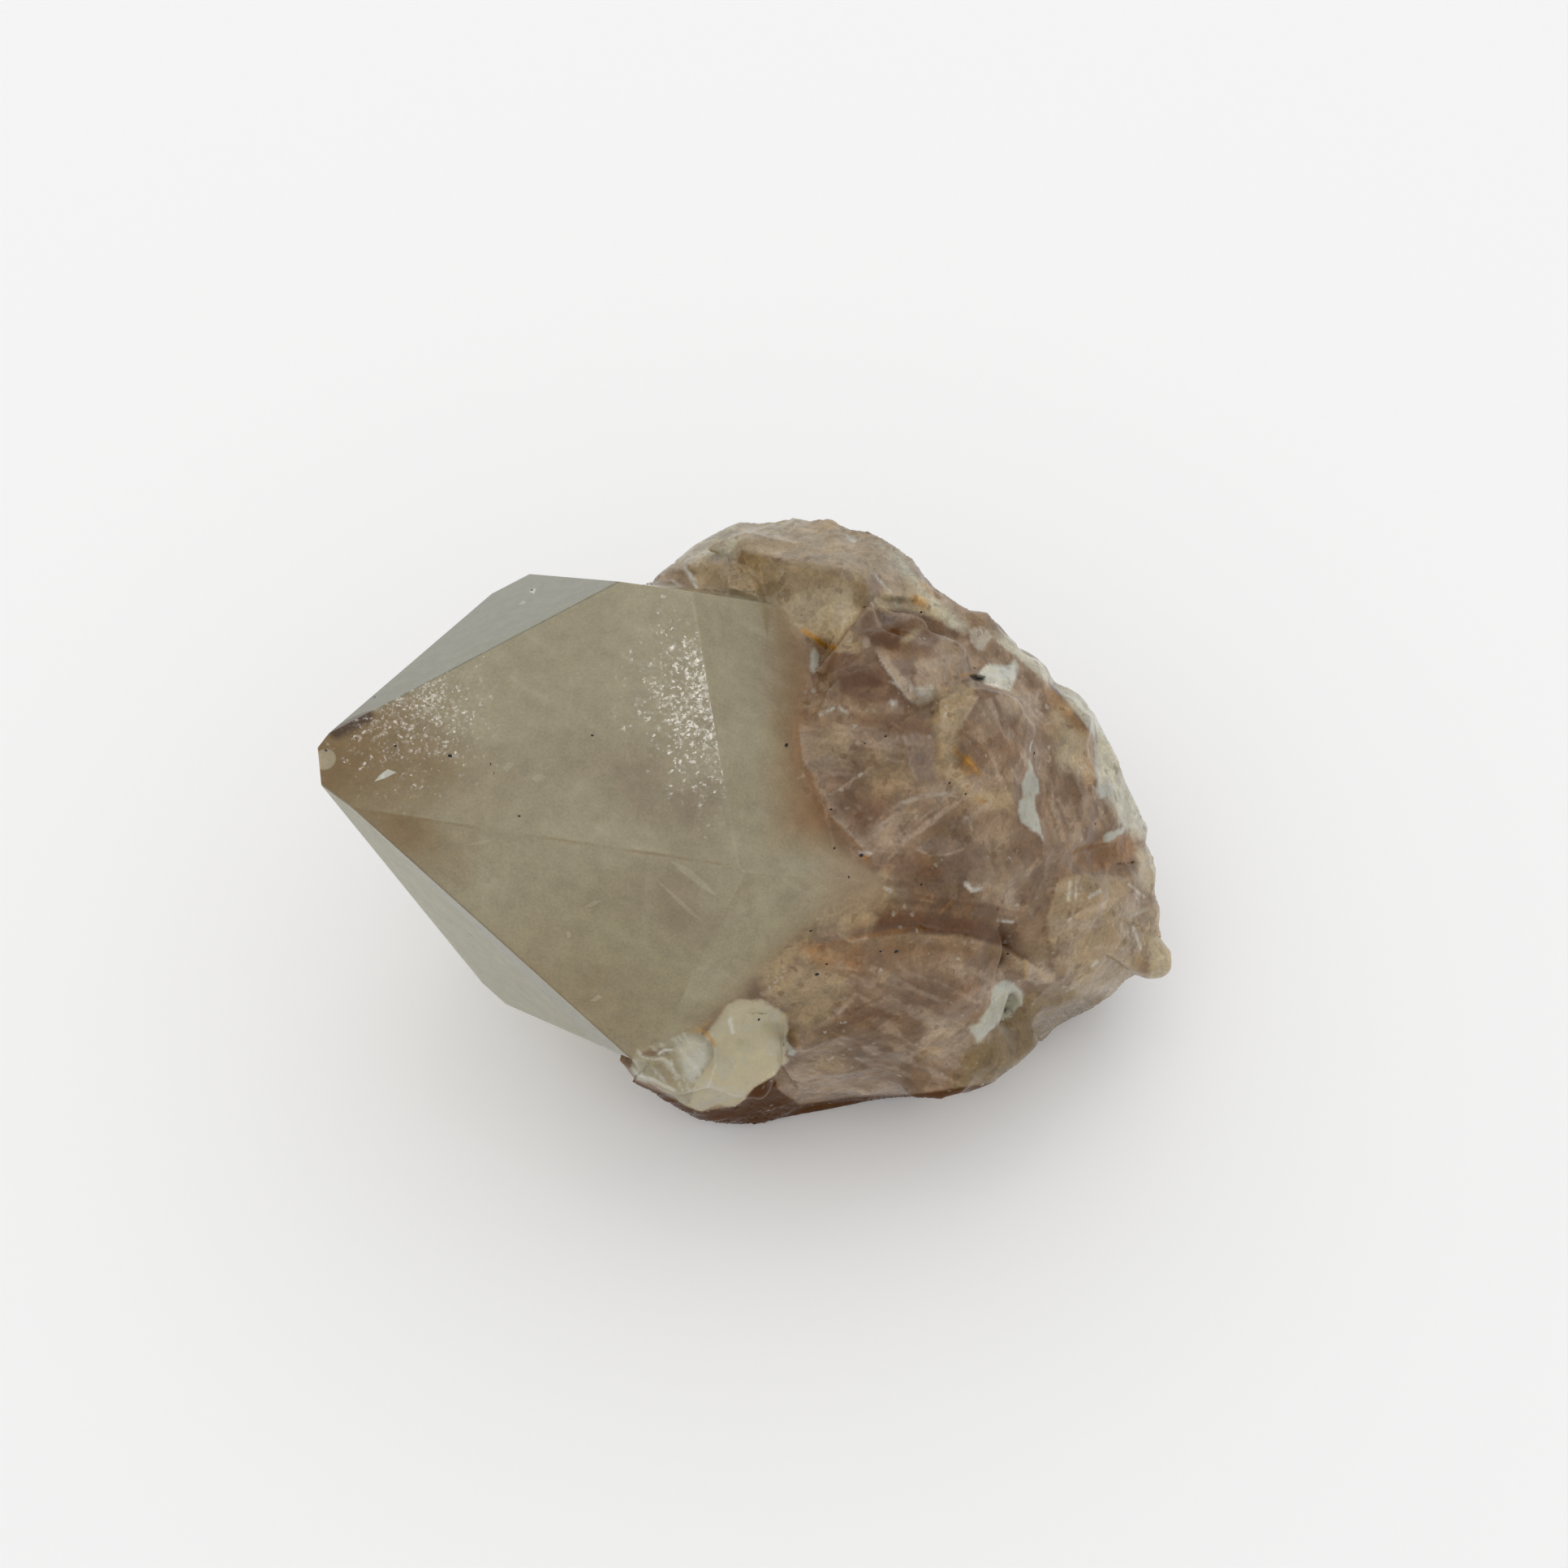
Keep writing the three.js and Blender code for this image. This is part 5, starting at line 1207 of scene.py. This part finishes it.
def turned_facets(size, turn):
    """Height, in metres, over flat facets about this wide, each turned its own way by at most this angle."""
    node = nodes.new("ShaderNodeTexVoronoi")
    node.inputs["Scale"].default_value = 1 / size
    links.new(coordinates, node.inputs["Vector"])
    turned = vector_math("SUBTRACT", node.outputs["Color"], (0.5,) * 3)
    across = vector_math("SUBTRACT", coordinates, node.outputs["Position"])
    return product(made("VectorMath", "Value", {0: turned, 1: across}, "DOT_PRODUCT"), 2 * turn)


# Fine growth hillocks cover the point's upper face: small flats that flash one by one under the lamps
hillocks = math_node("ADD", turned_facets(0.45 * MM, 0.011), turned_facets(0.23 * MM, 0.013))
look = {"Distance": 1.0, "Strength": 1.0, "Height": product(hillocks, on_face(7))}
links.new(made("Bump", "Normal", look), surface.inputs["Normal"])

# The painted shade of the underside takes a shaded copy of the quartz: the same colours, no light through it
# and little shine
shaded_quartz = quartz.copy()
shaded_quartz.name = "shaded_quartz"
shaded = shaded_quartz.node_tree
shaded_surface = shaded.nodes["Principled BSDF"]
shaded.links.remove(shaded_surface.inputs["Transmission Weight"].links[0])
shaded_surface.inputs["Transmission Weight"].default_value = 0.0
shaded_surface.inputs["Specular IOR Level"].default_value = 0.05
finished.materials.clear()
for material in (quartz, shaded_quartz):
    finished.materials.append(material)
finished.polygons.foreach_set("material_index", (of_faces("under") > 0.5).astype(np.int32))
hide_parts("citrine_cluster")
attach(specimen, "root")

# The dust
# Black specks of grit, a fifth to two fifths of a millimetre across, stuck here and there on the display side.
FLATTENED = (1.25, 0.85, 0.5, 1.0)
# place on the ruler and how wide, in millimetres
SPECKS = (
    *((place, 0.34) for place in ((-31.2, 2.6), (0.3, 3.6), (7.2, -6.6), (3.1, -17.9), (10.5, -15.7))),
    *((place, 0.22) for place in ((4.7, -5.9), (6.1, -8.8), (9, -15.7), (-10, -29), (9.5, 4.4),
     (12.8, -9.4), (21, -15.9), (2.6, -13.8), (4.3, -2.3), (29.1, -3.7), (4, -16.9), (-2.4, -22.1),
     (-23.6, 18.2), (-24.8, -3), (-17.9, 4.6), (-36.5, 3.6))),
)
front = np.flatnonzero(normals @ OUT > 0.2)
dust_build = bmesh.new()
for place, wide in SPECKS:
    beside_speck = np.hypot(shown[front, 0] - place[0], shown[front, 1] - place[1])
    spot = front[np.argmin(beside_speck)]
    upright = Vector(normals[spot]).to_track_quat("Z", "Y").to_matrix().to_4x4()
    settle = Matrix.Translation(Vector(places[spot])) @ upright @ Matrix.Diagonal(FLATTENED)
    bmesh.ops.create_icosphere(dust_build, subdivisions=2, radius=wide / 2 * MM, matrix=settle)
dust_mesh = bpy.data.meshes.new("dust")
dust_build.to_mesh(dust_mesh)
dust_build.free()
dust_mesh.polygons.foreach_set("use_smooth", np.ones(len(dust_mesh.polygons), dtype=bool))
dust = bpy.data.objects.new("dust", dust_mesh)
bpy.context.scene.collection.objects.link(dust)
grit = bpy.data.materials.new("grit")
grit.use_nodes = True
grit_surface = grit.node_tree.nodes["Principled BSDF"]
grit_surface.inputs["Base Color"].default_value = (0.012, 0.01, 0.009, 1)
grit_surface.inputs["Roughness"].default_value = 0.8
dust_mesh.materials.append(grit)
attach(dust, "root")

# The studio
# A plain pale table under an even pale sky, and two small overhead lamps that catch the fine growth
# texture of the point's upper face.
FAR = 3
table_mesh = bpy.data.meshes.new("table")
table_mesh.from_pydata([(-FAR, -FAR, 0), (FAR, -FAR, 0), (FAR, FAR, 0), (-FAR, FAR, 0)], [], [(0, 1, 2, 3)])
table = bpy.data.objects.new("table", table_mesh)
bpy.context.scene.collection.objects.link(table)
paint_coat = bpy.data.materials.new("pale_table")
paint_coat.use_nodes = True
table_surface = paint_coat.node_tree.nodes["Principled BSDF"]
table_surface.inputs["Base Color"].default_value = (0.95, 0.95, 0.95, 1)
table_surface.inputs["Roughness"].default_value = 0.9
table_mesh.materials.append(paint_coat)

world = bpy.data.worlds.new("studio")
world.use_nodes = True
sky = world.node_tree.nodes["Background"]
sky.inputs["Color"].default_value = (1, 1, 1, 1)
sky.inputs["Strength"].default_value = 0.95
bpy.context.scene.world = world


def lamp(name, towards, distance, width, height, radiance):
    """A soft light this far from the specimen's middle, facing it, as bright to look at as given."""
    data = bpy.data.lights.new(name, "AREA")
    data.shape = "RECTANGLE"
    data.size = width
    data.size_y = height
    data.energy = radiance * math.pi * width * height
    light = bpy.data.objects.new(name, data)
    bpy.context.scene.collection.objects.link(light)
    place = Vector(RULER_MIDDLE) + distance * Vector(towards).normalized()
    light.location = place
    light.rotation_euler = (place - Vector(RULER_MIDDLE)).to_track_quat("Z", "Y").to_euler()


lamp("lamp_left", (-0.3186, 0.1543, 0.9352), 0.622, 0.013, 0.007, 42)
lamp("lamp_right", (-0.136, 0.153, 0.979), 0.615, 0.011, 0.034, 30)

# The camera, at the display side's own viewing angle and distance
FRAME_PIXELS = 1932
RULER_PER_PIXEL = 0.076 * MM
SENSOR = 36.0
camera_data = bpy.data.cameras.new("camera")
camera_data.sensor_width = SENSOR
camera_data.lens = SENSOR * EYE_DISTANCE / (FRAME_PIXELS * RULER_PER_PIXEL)
camera_data.clip_start = 0.01
camera = bpy.data.objects.new("camera", camera_data)
bpy.context.scene.collection.objects.link(camera)
camera.location = Vector(RULER_MIDDLE + EYE_DISTANCE * OUT)
camera.rotation_euler = (math.pi / 2 - EYE_ELEVATION, 0, 0)
bpy.context.scene.camera = camera
bpy.context.scene.view_settings.view_transform = "Standard"
